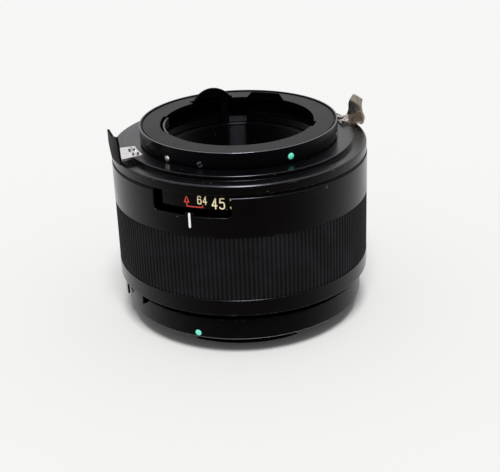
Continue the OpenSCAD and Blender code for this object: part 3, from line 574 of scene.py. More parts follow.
def make_finishes():
    """Makes every finish once, under the name of the real material and how it was made."""
    c = bpy.context.scene.converter_colours
    FINISHES.update(
        # blasted and anodised: black straight on, and a pale sheen only where it turns away; the grain of
        # about 0.05 mm is drawn at 0.22 mm, since it would be lost between pixels
        satin=black_metal("anodised aluminium, bead blasted", c.satin, 0.2, 0.5, 0.22, facing="#322B29"),
        # turned and lacquered: as black, with fine rings, drawn at 0.16 mm where real tool marks are finer
        turned=black_metal("lacquered brass, turned", c.turned, 0.24, 0.08, 0.3, lathe=0.16, dust=0.9,
                           facing="#4E4A57"),
        # rubbed lacquer of shelves and edges: a clear, slightly blue reflection and narrow highlights
        polish=black_metal("lacquered brass, polished by handling", c.turned, 0.23, 0.5, 0.3, wear=0.0,
                           dust=0.8, facing="#E2E0F2", relief=0.03),
        # lacquer rubbed thin by the lenses put on it, with a lighter base colour that paints in the rim's
        # highlight: a brighter line than the shelves
        rubbed=black_metal("lacquered brass, rubbed thin", linear("#38363E"), 0.2, 1.0, 0.3, wear=0.3,
                           dust=0.6, facing="#E2E0F2", relief=0.03),
        # worn lacquer: bare metal, made pale so that it also paints in the floor's reflection, and reads as
        # a bright line
        bare=black_metal("aluminium, turned and worn bare", linear("#C4BFB8"), 0.3, 0.5, 0.3, wear=0.6,
                         dust=0.2),
        # duller than the barrel, and without its pale sheen
        dull=black_metal("anodised aluminium, turned", c.satin, 0.3, 0.25, 0.3, lathe=0.2,
                         facing="#322B29"),
        # gloss lacquer in the light traps: black but for the lamp's own streak
        trap=black_metal("gloss lacquered aluminium, threaded", linear("#020203"), 0.09, 0.3, 0.3, wear=0.0,
                         dust=0.2, facing="#3E3D44", relief=0.02),
        # matt lacquer: swallows light except at a low angle
        matt=black_metal("matt lacquered aluminium, turned", c.matt, 0.34, 0.2, 0.3, lathe=0.3, wear=0.0,
                         dust=0.3, facing="#504E55"),
        # lacquer on sheet: a flat, slightly violet black that catches a little of the lamp
        lacquer=black_metal("black lacquered steel, stamped", linear("#070609"), 0.45, 0.05, 0.3, wear=0.0,
                            dust=0.3, facing="#504E55"),
        # blackened plate: dark, with worn bright edges
        black=black_metal("nickel plated steel, blackened", linear("#0E0A0C"), 0.5, 0.05, 0.3, wear=0.9,
                          dust=0.4, facing="#6A5A60"),
        # moulded: a dull black that scatters light, dusty in patches, with the crowns of the ribs lightened
        # a little as a painted highlight
        rubber=moulded_rubber("rubber, moulded", c.rubber),
        # stamped plate: a bright, slightly uneven mirror
        nickel=plated_metal("nickel plated steel, stamped", c.nickel, 0.16, 0.2),
        # old plate: warm grey, with dark tarnish
        aged=plated_metal("nickel plated steel, tarnished", linear("#93887C"), 0.14, 0.95),
        # turned plate: bright points of light with dark driver slots
        screw=plated_metal("nickel plated steel, turned", c.nickel, 0.26, 0.1),
        # heat blackened: a cool dark grey, rubbed bright on its edges
        blued=black_metal("blued steel, turned", linear("#34343A"), 0.32, 0.5, 0.2, wear=0.9, dust=0.2),
        # polished and coated: clear, with a weak tinted reflection
        glass=coated_glass("optical glass, polished and coated"),
        # glossy drop of enamel: a pale green dome, with a darker rim that is painted shade where the dome
        # turns away
        mint=ink("enamel, filled", c.mint, 0.12, rim=linear("#1E9C80")),
        # inks in engraved marks: even, half glossy, a little thin in places
        cream=ink("cream ink, filled", c.cream),
        red=ink("red ink, filled", c.red),
        white=ink("white ink, filled", c.white),
    )


class CONVERTER_OT_barrel(bpy.types.Operator):
    """Outer barrel: one outline carried round, whose top edge drops to the window's outline."""

    bl_idname = "converter.barrel"
    bl_label = "Barrel"

    def execute(self, context):
        s = context.scene.converter_sizes
        r, z0, z2 = reach("outer_barrel"), low("outer_barrel"), top("outer_barrel")
        z1 = z2 - mm(s.lip_h)
        g0, g1 = low("rubber_grip"), top("rubber_grip")
        first, last, index = deg(s.window_from), deg(s.window_to), deg(s.index_az)
        bore, thin, seat = mm(s.barrel_bore), mm(s.window_bore), mm(s.grip_seat)
        tooth_w, tooth_h, ledge, slope, slack = 1.1, 0.8, 0.35, 1.2, 0.02
        tooth, corner, floor = np.degrees(tooth_w / r), mm(s.window_corner), z1 - mm(s.window_depth)
        soft = np.degrees(corner / r) * np.linspace(0, 1, 9)[1:-1]
        az = columns(first, last, index - tooth, index + tooth)
        az = np.unique(np.concatenate([az, first + soft, last - soft]))
        side = np.radians(np.minimum(az - first, last - az)) * r
        sink = np.clip(1 - side / corner, 0, 1)
        edge = floor + corner * (1 - np.sqrt(1 - sink ** 2)) + tooth_h * (np.abs(az - index) < tooth)
        inside = between(az, first, last)
        edge = np.where(inside, edge, z1)
        lip = np.where(inside, edge + slack, z2)
        neck = floor - 1
        places = [(bore, z0), (r, z0), (r, g0), (seat, g0), (seat, g1), (r, g1), (r, edge),
                  (r - ledge, edge), (r - ledge, lip), (thin, lip), (thin, neck), (bore, neck - slope)]
        cut = [0.1, 0.4, 0.12, 0.02, 0.02, 0.12, 0.2, 0.02, 0.05, 0.05, 0.1, 0.1]
        piece("barrel_shell", [swept(az, places, cut)], "satin", "barrel", "satin_black", "outer_barrel",
              coats=[("polish", beyond(r - 0.3))])
        return {"FINISHED"}


class CONVERTER_OT_grip(bpy.types.Operator):
    """Rubber grip: a ring whose radius falls by the rib depth in each groove, as a smooth step."""

    bl_idname = "converter.grip"
    bl_label = "Ribbed grip"

    def execute(self, context):
        s = context.scene.converter_sizes
        r, seat = reach("rubber_grip"), mm(s.grip_seat) + 0.02
        samples, crown, slope = 10, 0.24, 0.14
        az = -180 + np.arange(s.rib_count * samples) * 360 / (s.rib_count * samples)
        away = np.abs((az / 360 * s.rib_count + 0.5) % 1 - 0.5)
        t = np.clip((away - crown) / slope, 0, 1)
        dip = t * t * (3 - 2 * t)
        ring = loops(az, oblong(seat, r - mm(s.rib_depth) * dip, low("rubber_grip"), top("rubber_grip")))
        outline, _ = rounded(ring, [0.05, 0.3, 0.3, 0.05])
        # the edge weight is 1 on the crowns of the ribs and 0 in the grooves, for the rubber's painted
        # highlight
        piece("ribbed_grip", [band(az, outline, 1 - dip[:, None])], "rubber", "barrel", "grip_rubber",
              "rubber_grip", sharp=70)
        return {"FINISHED"}


class CONVERTER_OT_collar(bpy.types.Operator):
    """Aperture collar: a turned ring with shelf and step, and the curved tongue that carries the scale."""

    bl_idname = "converter.collar"
    bl_label = "Aperture collar"

    def execute(self, context):
        s = context.scene.converter_sizes
        r, z2 = reach("aperture_collar"), top("aperture_collar")
        z1 = z2 - mm(s.step_h)
        z0 = z1 - mm(s.collar_h)
        step, tongue = mm(s.step_r), mm(s.tongue_r)
        bore, hub, sill, thick = 24.2, 28.05, z0 - 0.75, 1.1
        places = [(bore, sill), (hub, sill), (hub, z0), (r, z0), (r, z1), (step, z1), (step, z2), (bore, z2)]
        ring = turned(places, [0.1, 0.1, 0.1, 0.15, 0.55, 0.06, 0.22, 0.15])
        drop = block(tongue - thick, tongue, low("aperture_collar"), z0 + 0.5, -126, -23.5, 0.1)
        piece("aperture_collar_shell", [ring, drop], "satin", "aperture_ring", "satin_black",
              "aperture_collar", coats=[("polish", leaning)])
        return {"FINISHED"}


def crossing(azimuths, start, stop):
    """The radius at which a ray from the axis meets the line through two points of radius and azimuth.

    With p and q the points and u the ray's unit vector, it is (p x q) / (u x (q - p)).
    """
    p, q = [r * np.array([np.cos(np.radians(a)), np.sin(np.radians(a))]) for r, a in (start, stop)]
    u, w = np.radians(azimuths), q - p
    return (p[0] * q[1] - p[1] * q[0]) / (np.cos(u) * w[1] - np.sin(u) * w[0])


class CONVERTER_OT_flange(bpy.types.Operator):
    """Front flange: a ring whose inner radius steps out at the entry gaps and the lever's recess.

    Its outline has two scored lines in the wall and a narrow ditch inside the rim.
    """

    bl_idname = "converter.flange"
    bl_label = "Front flange"

    def execute(self, context):
        s = context.scene.converter_sizes
        r, z0, z1 = reach("front_bayonet"), low("front_bayonet"), top("front_bayonet")
        # entry gaps and the lever's recess: azimuths of both sides, and radius
        gaps = ((165, 201, 19.6), (-22, -10, 19.6), (94.05, 128, 20.8))
        az = columns(*[edge for gap in gaps for edge in gap[:2]])
        az = np.unique(np.concatenate([az, np.linspace(49, 62, 27), np.linspace(80, 83, 13)]))
        socket, entry = mm(s.socket_r), mm(s.entry_r)
        # the wide entry gap: its slanted sides run through points of radius and azimuth
        first = crossing(az, (socket - 1.2, 45.5), (entry + 1, 63.1))
        last = crossing(az, (entry + 1.2, 80), (socket - 1.8, 83))
        inner = np.minimum(first, np.where(last > 0, last, entry))
        inner = np.where(between(az, 45, 90), np.clip(inner, socket, entry), socket)
        for start, stop, reached in gaps:
            inner[between(az, start, stop)] = reached
        face, rim, bright = z1 - mm(s.rim_h), r - mm(s.rim_w), r - 0.36
        under, ditch, wall, foot = face - mm(s.plate_t), face - 0.2, 23.65, 0.3
        half, score = 0.07, 0.014
        lines = [(r - d, z0 + h + w) for h in (1.27, 2.49) for d, w in ((0, -half), (score, 0), (0, half))]
        places = [(wall, z0), (r - foot, z0), (r - foot, z0 + foot), (r, z0 + foot), *lines, (r, z1),
                  (bright, z1), (rim, z1), (rim, ditch), (rim - 0.2, ditch), (rim - 0.3, face),
                  (inner, face), (inner, under), (wall, under)]
        cut = [0.05, 0.05, 0.03, 0.05, *[0.01] * 6, 0.1, 0.01, 0.04, 0.02, 0.02, 0.04, 0.12, 0.1, 0.05]
        # on the rim, the rubbed finish's lighter base colour is a painted highlight, with the lacquer finish
        # just inside it
        piece("bayonet_flange", [swept(az, places, cut)], "turned", "barrel", "bayonet_black",
              "front_bayonet", coats=[("lacquer", beyond(rim)), ("rubbed", beyond(bright))])
        return {"FINISHED"}


class CONVERTER_OT_rear(bpy.types.Operator):
    """Rear mount ring, whose wall drops at a notch, and bayonet plug, whose foot steps out at each lug."""

    bl_idname = "converter.rear"
    bl_label = "Rear end"

    def execute(self, context):
        r, seat = reach("rear_mount_ring"), low("rear_mount_ring")
        hub, rim, plate, ledge = top("rear_mount_ring"), seat + 5.5, seat + 2.3, seat + 0.8
        az = np.unique(np.concatenate([columns(), np.linspace(-149, -142, 43)]))
        # the notch in the wall: its depth at distances along the wall
        along = np.radians(az + 147) * r
        drop = np.where(along > -0.75, np.interp(along, [-0.75, 1.7, 2.3], [2.15, 0.6, 0]), 0)
        bore, recess, wall, neck, core = 22.3, 25.45, r - 1.9, 27.0, 24.62
        places = [(bore, ledge), (recess, ledge), (recess, seat), (r, seat), (r, rim - drop),
                  (wall, rim - drop), (wall, plate), (neck, plate), (neck, hub), (core, hub), (core, plate),
                  (bore, plate)]
        cut = [0.05, 0.05, 0.1, 0.36, 0.32, 0.2, 0.1, 0.05, 0.1, 0.1, 0.05, 0.05]
        edge = beyond(r - 0.5)
        piece("rear_ring_shell", [swept(az, places, cut)], "dull", "barrel", "satin_black",
              "rear_mount_ring", coats=[
                  ("polish", edge),
                  # the lower rounded edge takes the pale bare finish: worn metal with a painted reflection
                  # of the floor
                  ("bare", lambda c, n: edge(c, n) & (n[:, 2] < -0.2) & (n[:, 2] > -0.85))])
        lugs = [(mid - 31, mid + 31) for mid in (-90, 30, 150)]
        az = columns(*[side for lug in lugs for side in lug])
        foot = np.full_like(az, 22.21)
        for start, stop in lugs:
            foot[between(az, start, stop)] = 24.4
        bore, neck, pilot, flare, hub, up = 20.8, 22.2, 24.8, 25.4, 22.25, top("rear_bayonet")
        places = [(bore, 0), (foot, 0), (foot, 1.5), (neck, 1.5), (neck, 3), (pilot, 3), (pilot, seat),
                  (flare, seat), (flare, ledge), (hub, ledge), (hub, up), (bore, up)]
        cut = [0.3, 0.2, 0.2, 0.02, 0.1, 0.25, 0.02, 0.02, 0.05, 0.05, 0.05, 0.1]
        piece("bayonet_plug", [swept(az, places, cut)], "dull", "barrel", "bayonet_black", "rear_bayonet")
        return {"FINISHED"}


def grooves(r, start, stop, count, depth):
    """Grooves that trap light in a bore: r + depth / 2 * (1 - cos(2 pi k)), k rising by one a groove."""
    k = np.arange(0, count + 1e-6, 1 / 6)
    return np.stack([r + depth / 2 * (1 - np.cos(2 * np.pi * k)), start + (stop - start) * k / count], -1)


class CONVERTER_OT_inside(bpy.types.Operator):
    """Core tube, lens cell, baffle and stop-down ring, each a turned ring, and the leaf spring's strip.

    The core's web is cut back where the transfer bar turns. Bores that are seen have fine grooves.
    """

    bl_idname = "converter.inside"
    bl_label = "Inside"

    def execute(self, context):
        z0, z1 = low("core_tube"), top("core_tube")
        slot = (-7.6, 82.6)
        az = columns(*slot)
        web = np.where(between(az, *slot), 28.05, reach("core_tube"))
        wall, journal, spigot, cavity, bore, land = 24.6, 24.15, 23.63, 22.63, 21.2, 20.65
        web0, web1, hub, neck, floor, land0, land1 = 22.125, 26.125, 41.98, 46.17, 44.97, 24.0, 28.0
        core = swept(az, [
            (wall, z0), (wall, web0), (web, web0), (web, web1), (wall, web1), (wall, hub), (journal, hub),
            (journal, neck), (spigot, neck), (spigot, z1), (cavity, z1), (cavity, floor), (bore, floor),
            (bore, land1), (land, land1), (land, land0), (bore, land0), (bore, z0)], 0.12)
        trap0, trap1 = 42.9, 44.6
        trap = np.concatenate([grooves(20.98, trap1, trap0, 9, 0.08), [[21.6, trap0], [21.6, trap1]]])
        piece("core_tube_shell", [core, band(columns(), trap)], "matt", "barrel", "matt_black", "core_tube",
              coats=[("trap", lambda c, n: (across(c) < bore - 0.01) & (c[:, 2] > trap0))])
        c0, c1 = low("lens_cell"), top("lens_cell")
        mouth, seat, rear, taper = c1 - 0.6, 22.5, 20.5, 18.5
        rear_bore, sleeve, outer, rim, front_bore = 15.02, 17.02, 19, 18.42, 16.02
        cell = turned([
            (rear_bore, c0), (sleeve, c0), (sleeve, taper), (outer, rear), (outer, c1), (rim, c1),
            (rim, mouth), (front_bore, mouth), (front_bore, seat), (13.5, seat), (12.5, rear),
            (rear_bore, rear)], 0.1)
        ring_from, ring_to = 126, 452
        collar = block(18.5, 21.18, 28, 31, ring_from, ring_to, 0.1)
        piece("lens_cell_shell", [cell, collar], "matt", "barrel", "matt_black", "lens_cell")
        b1, tube, spigot, root, groove = top("front_baffle"), 18, 18.4, 16.5, 18.7
        foot, clip0, clip1 = c1 - 0.58, b1 - 0.97, b1 - 0.43
        back, _ = rounded([
            (root, foot), (spigot, foot), (spigot, c1), (outer, c1), (outer, clip0), (groove, clip0),
            (groove, clip1), (outer, clip1), (outer, b1), (18.6, b1)], 0.05)
        baffle = np.concatenate([
            back, [(18.5, b1 - 0.02), (18.05, b1 - 0.47)], grooves(tube, b1 - 0.6, c1 + 0.1, 33, 0.07),
            [(tube, c1 + 0.05), (17.9, c1), (16.65, c1), (root, c1 - 0.15)]])
        s0, s1 = low("stop_down_ring"), top("stop_down_ring")
        rib = block(18.5, 20.3, c1, s0 - 0.12, ring_from, ring_to, 0.08)
        piece("front_baffle_shell", [band(columns(), baffle), rib], "matt", "barrel", "matt_black",
              "front_baffle", coats=[("trap", lambda c, n: across(c) < 18.55)])
        ring = turned(oblong(19.05, 20.9, s0, s1), 0.12)
        piece("stop_ring_shell", [ring], "matt", "stop_down", "matt_black", "stop_down_ring")
        f1 = top("bayonet_leaf_spring")
        leaf = [block(18.45, 18.9, low("bayonet_leaf_spring"), f1, 164, 202, 0.08)]
        leaf += [block(18.6, 22.6, f1 - 2.2, f1 - 1.02, a, a + 2.5, 0.08) for a in (164.5, 199)]
        piece("leaf_spring_strip", leaf, "blued", "barrel", "spring_steel", "bayonet_leaf_spring")
        return {"FINISHED"}


# Glasses: node, radius, heights of the seats, and spheres of the upper and lower face
GLASSES = (
    ("front_convex_glass", 16, 32.5, 34.0, 50, 90),
    ("front_concave_glass", 16, 25.0, 30.5, -50, -42),
    ("front_cemented_glass", 16, 22.5, 25.0, 42, -90),
    ("rear_meniscus_glass", 15, 17.3, 20.5, 70, -30),
    ("rear_convex_glass", 15, 13.3, 15.3, 45, 60),
    ("rear_field_glass", 15, 8.8, 11.3, -55, 90),
)
# Retaining rings: node, radius, and heights of seat and mouth
RETAINERS = (("front_retaining_ring", 16, 34.0, 36.2), ("rear_retaining_ring", 15, 8.8, 6.6))


class CONVERTER_OT_glass(bpy.types.Operator):
    """The six glasses, each a dished disc, the spacers between them and the rings that hold them."""

    bl_idname = "converter.glass"
    bl_label = "Glasses"

    def execute(self, context):
        seat_w, notch_w, notch_d, funnel_w, funnel_d = 2.5, 1.2, 0.8, 1.5, 1.2
        for node, r, *face in GLASSES:
            piece(node.replace("_glass", "_lens"), [dished(r, r - seat_w, *face)], "glass", "barrel",
                  "coated_glass", node)
        dress("matt", "front_spacer", "middle_spacer", "rear_spacer")
        for node, r, seat, mouth in RETAINERS:
            way = 1 if mouth > seat else -1
            half = np.degrees(notch_w / 2 / r)
            az = columns(-180 + half, -half, half, 180 - half)
            off = np.minimum(np.abs(az), 180 - np.abs(az))
            lip = np.where(off < half, mouth - notch_d * way, mouth)
            places = [(r - seat_w, seat), (r, seat), (r, lip), (r - funnel_w, lip),
                      (r - seat_w, lip - funnel_d * way)]
            piece(node.replace("_ring", "_collar"), [swept(az, places[::way], 0.06)], "matt", "barrel",
                  "matt_black", node)
        return {"FINISHED"}


# Coupling tabs: node, finish, azimuths of blade and foot, half the foot's angle, bow and flare of the
# blade, and its lower and upper edge as points of sideways distance and height
TABS = (
    ("coupling_tab_left", "black", -158.5, -157.8, 7.4, 0.05, 0.5,
     [(-0.7, 0.5), (-0.4, 0.17), (-0.3, 0), (0.62, 0), (0.66, 0.08)],
     [(-0.7, 0.56), (-0.62, 0.985), (-0.083, 0.886), (0.438, 1), (0.58, 0.364), (0.66, 0.1)]),
    ("coupling_tab_right", "aged", 18.7, 15, 6, 0.28, 0.0,
     [(-0.735, 0.36), (-0.53, 0), (0.7, 0), (0.72, 0.04)],
     [(-0.735, 0.42), (-0.579, 0.69), (-0.463, 1), (0.274, 0.99), (0.571, 0.49), (0.72, 0.08)]),
)


class CONVERTER_OT_tabs(bpy.types.Operator):
    """Coupling tabs: a curved foot, and a blade whose lower and upper edge are drawn by points."""

    bl_idname = "converter.tabs"
    bl_label = "Coupling tabs"

    def execute(self, context):
        step, thick, play, lift = top("aperture_collar"), 0.55, 0.15, 0.2
        out = reach("aperture_collar") + play + thick
        floor = step - mm(context.scene.converter_sizes.step_h) + lift
        span = top("coupling_tab_left") - floor
        wide = span + lift
        for node, finish, az, foot_az, half, wave, flare, under, over in TABS:
            under, over = np.array(under), np.array(over)
            even = np.linspace(under[0, 0], under[-1, 0], 60)
            s = np.unique(np.concatenate([even, under[:, 0], over[:, 0]]))
            lower = floor + span * np.interp(s, under[:, 0], under[:, 1])
            upper = floor + span * np.interp(s, over[:, 0], over[:, 1])
            z = lower[:, None] + (upper - lower)[:, None] * np.linspace(0, 1, 14)
            rise = (z - floor) / span
            bow = wave * np.sin(2.2 * np.pi * rise) + flare * rise * np.clip(-s[:, None] - 0.25, 0, 1)
            front = np.stack([out + bow, z], -1)
            rear = np.stack([out - thick + bow, z], -1)[:, ::-1]
            blade = band(az + np.degrees(s * wide / out), np.concatenate([front, rear], 1))
            foot = block(26.54, out - 0.27, step, step + thick, foot_az - half, foot_az + half, 0.14)
            bright = [("nickel", lambda c, n: (across(c) < out - thick - 0.05) & (c[:, 0] < 0))]
            made = piece(node + "_plate", [blade, foot], finish, "aperture_ring", "tab_chrome", node,
                         sharp=40, coats=bright)
            bevel = made.modifiers.new("stamped edge", "BEVEL")
            bevel.width, bevel.segments = 0.0001, 2
            bevel.limit_method, bevel.angle_limit = "ANGLE", np.radians(50)
        return {"FINISHED"}


class CONVERTER_OT_lever(bpy.types.Operator):
    """Stop-down paddle, a curved plate whose upper edge is an arc, with its stem, and the rear lever.

    With s the sideways distance and R the arc's radius, the edge is at centre + sqrt(R^2 - s^2).
    """

    bl_idname = "converter.lever"
    bl_label = "Stop-down lever"

    def execute(self, context):
        z1, flange = top("stop_down_paddle"), top("front_bayonet")
        r, thick, ball, mid, floor = 20.55, 0.8, 6.4, 109.75, flange + 0.1
        half = np.sqrt(ball ** 2 - (ball - (z1 - floor)) ** 2)
        s = half * np.sin(np.linspace(-np.pi / 2, np.pi / 2, 61))
        arc = np.maximum(z1 - ball + np.sqrt(ball ** 2 - s ** 2), floor + 0.05)
        az, cut = mid + np.degrees(np.arcsin(s / r)), [0.02, 0.02, 0.14, 0.14]
        head = swept(az, oblong(r - thick, r, floor, arc), cut)
        start, stop, fine = 97, 103, 0.5
        stem = block(r - thick, r, top("stop_down_ring"), flange + 0.6, start, stop, 0.1, fine)
        piece("paddle", [head, stem], "lacquer", "stop_down", "lever_black", "stop_down_paddle")
        bar = block(19.4, 20.4, low("stop_down_lever"), top("stop_down_lever"), start, stop, 0.2, fine)
        piece("rear_lever", [bar], "lacquer", "stop_down", "lever_black", "stop_down_lever")
        return {"FINISHED"}


class CONVERTER_OT_fasteners(bpy.types.Operator):
    """Screw heads and index beads: round heads on a polar grid, slotted or domed."""

    bl_idname = "converter.fasteners"
    bl_label = "Screws and beads"

    def execute(self, context):
        index = deg(context.scene.converter_sizes.index_az)
        r, z0, proud = reach("front_bayonet"), low("front_bayonet"), 0.02
        z, small, bead = z0 + 0.9, 0.75, (0.85, 0.16)
        heads = [button(on_wall(az, z, r), small, 0.2, [turn])
                 for az, turn in ((-134, 104), (-14, 20), (106, 130))]
        piece("flange_screw_heads", heads, "screw", "barrel", "bright_screw",
              coats=[("blued", lambda c, n: c[:, 0] > 15)])
        stop = button(on_wall(index, z, r + proud), small, 0.05, [35])
        piece("stop_screw_head", [stop], "blued", "barrel", "dark_screw")
        step = top("aperture_collar")
        sunk = [button(on_shelf(az, step + proud, 26.84), 1.1, 0.04, [25, 115], 0.34) for az in (65, 75)]
        piece("transfer_screw_heads", sunk, "screw", "aperture_ring", "bright_screw")
        tabs = [button(on_shelf(az, step + 0.8, 27.89), 0.85, 0.12, [turn])
                for az, turn in ((-161, 20), (-154.6, 70), (11.4, 40), (18.6, 100))]
        piece("tab_screw_heads", tabs, "screw", "aperture_ring", "bright_screw",
              coats=[("blued", lambda c, n: c[:, 0] > 0)])
        front = on_wall(-61.1, z0 + 1.65, r - proud)
        rear = on_wall(-112.85, low("rear_mount_ring") + 1.15, reach("rear_mount_ring") - proud)
        beads = [button(place, *bead) for place in (front, rear)]
        # the beads' outer rows take the enamel's dark rim colour, a painted shade
        piece("index_bead_domes", beads, "mint", "barrel", "index_green", "index_beads")
        dress("screw", "barrel_screws", "flange_screws", "cell_screws", "rear_screws", "tab_screws",
              "transfer_screws", "spring_post")
        dress("blued", "bayonet_stop_screw", "stop_ring_clip", "stop_down_spring")
        dress("matt", "transfer_bar")
        return {"FINISHED"}


class CONVERTER_OT_coupling(bpy.types.Operator):
    """Rear coupling ring: a flat ring in the slot, with a skirt and a hanging lug as curved bars."""

    bl_idname = "converter.coupling"
    bl_label = "Rear coupling ring"

    def execute(self, context):
        z1, thick, under = top("rear_coupling_ring"), 1.5, 10.3
        ring = turned(oblong(24.65, 30, z1 - thick, z1), 0.1)
        skirt = block(28.7, 29.98, under, z1 - 1.0, 147, 213, 0.1)
        arm = block(29, 31.2, under + 0.01, 11.38, 180.1, 194.9, 0.1)
        lug = block(30.9, 31.45, low("rear_coupling_ring"), 11.4, 180, 195, 0.1)
        piece("coupling_ring_shell", [ring, skirt, arm, lug], "satin", "aperture_ring", "satin_black",
              "rear_coupling_ring")
        return {"FINISHED"}


# Strokes of the numerals, as points of width and height from 0 to 1
STROKES = {
    "1": [[(0.2, 0.82), (0.55, 1), (0.55, 1), (0.55, 1), (0.55, 0)]],
    "2": [[(0, 0.78), (0.05, 1), (0.9, 1.02), (1, 0.78), (0.92, 0.58), (0, 0.02), (0, 0), (0, 0), (0, 0),
           (1, 0)]],
    "3": [[(0, 0.86), (0.12, 1), (0.82, 1), (0.95, 0.88), (0.95, 0.66), (0.8, 0.54), (0.35, 0.54)],
          [(0.35, 0.54), (0.85, 0.54), (1, 0.42), (1, 0.14), (0.85, 0), (0.12, 0), (0, 0.14)]],
    "4": [[(0.72, 0), (0.72, 1)], [(0.72, 1), (0, 0.28), (0, 0.28), (0, 0.28), (1, 0.28)]],
    "5": [[(0.92, 1), (0.12, 1), (0.12, 1), (0.12, 1), (0.06, 0.56), (0.06, 0.56), (0.3, 0.64), (0.8, 0.64),
           (1, 0.48), (1, 0.14), (0.82, 0), (0.15, 0), (0, 0.14)]],
    "6": [[(0.92, 0.84), (0.85, 1), (0.1, 1.03), (0, 0.75), (0, 0.12), (0.12, 0), (0.88, 0), (1, 0.14),
           (1, 0.46), (0.88, 0.6), (0.14, 0.6), (0, 0.46)]],
    "8": [[(0.5, 0.54), (0.1, 0.56), (0.04, 0.78), (0.14, 1), (0.86, 1), (0.96, 0.78), (0.9, 0.56),
           (0.5, 0.54)],
          [(0.5, 0.54), (0.08, 0.52), (0, 0.26), (0.1, 0), (0.9, 0), (1, 0.26), (0.92, 0.52), (0.5, 0.54)]],
    ".": [[(0.4, 0.01), (0.6, 0.01)]],
}


def number(text, az, z, r, tall, half):
    """A number on a round wall, centred on an azimuth: one ribbon for each stroke of each numeral."""
    wide, gap = 0.44 * tall, 0.26 * tall
    widths = [0.3 * wide if c == "." else wide for c in text]
    x = -(sum(widths) + gap * (len(text) - 1)) / 2
    shells = []
    for c, w in zip(text, widths):
        for stroke in STROKES[c]:
            p = np.array(stroke) * [w, tall] + [x, -tall / 2]
            shells.append(ribbon(p, half, az, z, r))
        x += w + gap
    return shells


class CONVERTER_OT_marks(bpy.types.Operator):
    """Scale and index: numerals and marks on the tongue, and a line on the barrel, as ribbons of ink."""

    bl_idname = "converter.marks"
    bl_label = "Scale and index"

    def execute(self, context):
        s = context.scene.converter_sizes
        r, tall, gap = mm(s.tongue_r), mm(s.numeral_h), deg(s.numeral_step)
        z = low("aperture_collar") + 1.85
        shells = number("64", -106.85, z + 0.3, r, 0.74 * tall, 0.12)
        for i, text in enumerate(("45", "32", "22", "16", "11", "8", "5.6", "4")):
            shells += number(text, -99.9 + gap * i, z - 0.35, r, tall, 0.16)
        piece("scale_numerals", shells, "cream", "aperture_ring", "satin_black")
        # a point given three times keeps its corner sharp, and one given twice half sharp
        left, right = (-2.05, 0), (1.85, 0)
        bracket = [(-2.05, 0.7), left, left, left, right, right, right, (1.85, 0.5)]
        triangle = [(-0.55, -0.7), (0, 0.75), (0, 0.75), (0.55, -0.7), (0.55, -0.7), (-0.55, -0.7)]
        auto = [ribbon(bracket, 0.14, -110.1, z - 1.5, r),
                ribbon(triangle, 0.15, -113.9, z + 0.2, r, smooth=1)]
        piece("automatic_mark", auto, "red", "aperture_ring", "satin_black")
        z1 = top("outer_barrel") - mm(s.lip_h)
        line = ribbon([(0, -7.5), (0, -4.3)], 0.3, deg(s.index_az), z1, reach("outer_barrel"), smooth=0)
        piece("index_line", [line], "white", "barrel", "satin_black")
        return {"FINISHED"}


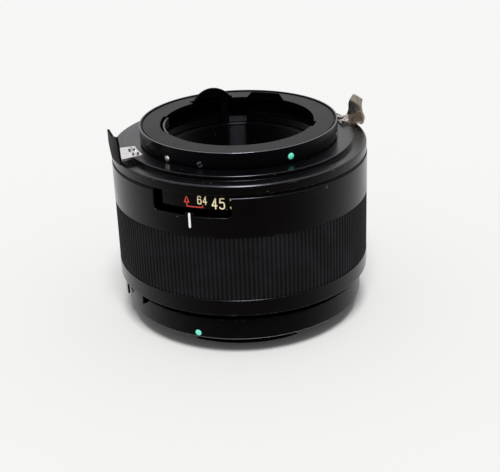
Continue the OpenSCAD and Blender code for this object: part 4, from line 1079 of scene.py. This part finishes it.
class CONVERTER_OT_stage(bpy.types.Operator):
    """Pale floor, soft lamp over the camera, light from all round, and the camera."""

    bl_idname = "converter.stage"
    bl_label = "Stage"

    def execute(self, context):
        scene, s = context.scene, context.scene.converter_studio
        scene.view_settings.view_transform = "Standard"
        # seamless paper: pale and quite dull
        m, place = blank("seamless paper, pressed")
        close(m, {"Base Color": scene.converter_colours.floor, "Roughness": 0.95, "Specular IOR Level": 0.1,
                  "Normal": bump(m, noise(m, place, 3, 4), 0.02, 100)})
        half = 6
        corners = [(-half, -half, 0), (half, -half, 0), (half, half, 0), (-half, half, 0)]
        mesh = bpy.data.meshes.new("floor")
        mesh.from_pydata(corners, [], [(0, 1, 2, 3)])
        mesh.materials.append(m)
        floor = bpy.data.objects.new("floor", mesh)
        scene.collection.objects.link(floor)
        # a white backdrop where it is seen, also in reflections and through glass, and a weaker light
        world = bpy.data.worlds.new("studio")
        world.use_nodes = True
        world.node_tree.nodes.clear()
        rays = add(world, "ShaderNodeLightPath").outputs
        seen = rays["Is Camera Ray"]
        for kind in ("Is Glossy Ray", "Is Transmission Ray"):
            seen = add(world, "ShaderNodeMath", {0: seen, 1: rays[kind]}, operation="MAXIMUM")
        lit, bright = [add(world, "ShaderNodeBackground", {"Color": (1, 1, 1, 1), "Strength": strength})
                       for strength in (s.fill, s.white)]
        both = add(world, "ShaderNodeMixShader", {0: seen, 1: lit, 2: bright})
        add(world, "ShaderNodeOutputWorld", {"Surface": both})
        scene.world = world
        lamp = bpy.data.lights.new("lamp", "SUN")
        lamp.energy, lamp.angle = s.sun, s.sun_size
        sun = bpy.data.objects.new("lamp", lamp)
        sun.rotation_euler = Vector((0.02, -0.43, 0.90)).to_track_quat("Z", "Y").to_euler()
        scene.collection.objects.link(sun)
        # the fitted camera: pitch, yaw and roll in degrees, and its place in metres
        pitch, yaw, roll = np.radians([24.33, 0.39, -2.22])
        ahead = np.array([np.sin(yaw) * np.cos(pitch), np.cos(yaw) * np.cos(pitch), -np.sin(pitch)])
        right = np.cross(ahead, [0, 0, 1])
        right /= np.linalg.norm(right)
        up = np.cross(right, ahead)
        turn = np.stack([np.cos(roll) * right + np.sin(roll) * up,
                         -np.sin(roll) * right + np.cos(roll) * up, -ahead], 1)
        data = bpy.data.cameras.new("camera")
        data.lens, data.sensor_width, data.clip_start = s.lens, 36, 0.01
        camera = bpy.data.objects.new("camera", data)
        camera.matrix_world = Matrix.Translation((0, -0.26934, 0.1400)) @ Matrix(turn.tolist()).to_4x4()
        scene.collection.objects.link(camera)
        scene.camera = camera
        return {"FINISHED"}


OPERATORS = (
    CONVERTER_OT_barrel, CONVERTER_OT_grip, CONVERTER_OT_collar, CONVERTER_OT_flange, CONVERTER_OT_rear,
    CONVERTER_OT_inside, CONVERTER_OT_glass, CONVERTER_OT_tabs, CONVERTER_OT_lever,
    CONVERTER_OT_fasteners, CONVERTER_OT_coupling, CONVERTER_OT_marks, CONVERTER_OT_stage)
SETTINGS = {"converter_sizes": ConverterSizes, "converter_colours": ConverterColours,
            "converter_studio": StudioSettings}


class CONVERTER_PT_sidebar(bpy.types.Panel):
    """Lists the sizes, the colours and the pieces."""

    bl_idname = "CONVERTER_PT_sidebar"
    bl_label = "Teleconverter"
    bl_space_type = "VIEW_3D"
    bl_region_type = "UI"
    bl_category = "Converter"

    def draw(self, context):
        for name, group in SETTINGS.items():
            box = self.layout.box()
            for key in group.__annotations__:
                box.prop(getattr(context.scene, name), key)
        for operator in OPERATORS:
            self.layout.operator(operator.bl_idname)


CLASSES = (*SETTINGS.values(), *OPERATORS, CONVERTER_PT_sidebar)


def register():
    """Registers the classes and hangs their settings on the scene."""
    for cls in CLASSES:
        bpy.utils.register_class(cls)
    for name, group in SETTINGS.items():
        setattr(bpy.types.Scene, name, PointerProperty(type=group))


def unregister():
    """Takes back what register did."""
    for name in SETTINGS:
        delattr(bpy.types.Scene, name)
    for cls in reversed(CLASSES):
        bpy.utils.unregister_class(cls)


def main():
    """Registers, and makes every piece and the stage."""
    register()
    make_finishes()
    for operator in OPERATORS:
        area, name = operator.bl_idname.split(".")
        getattr(getattr(bpy.ops, area), name)()


if __name__ == "__main__":
    main()
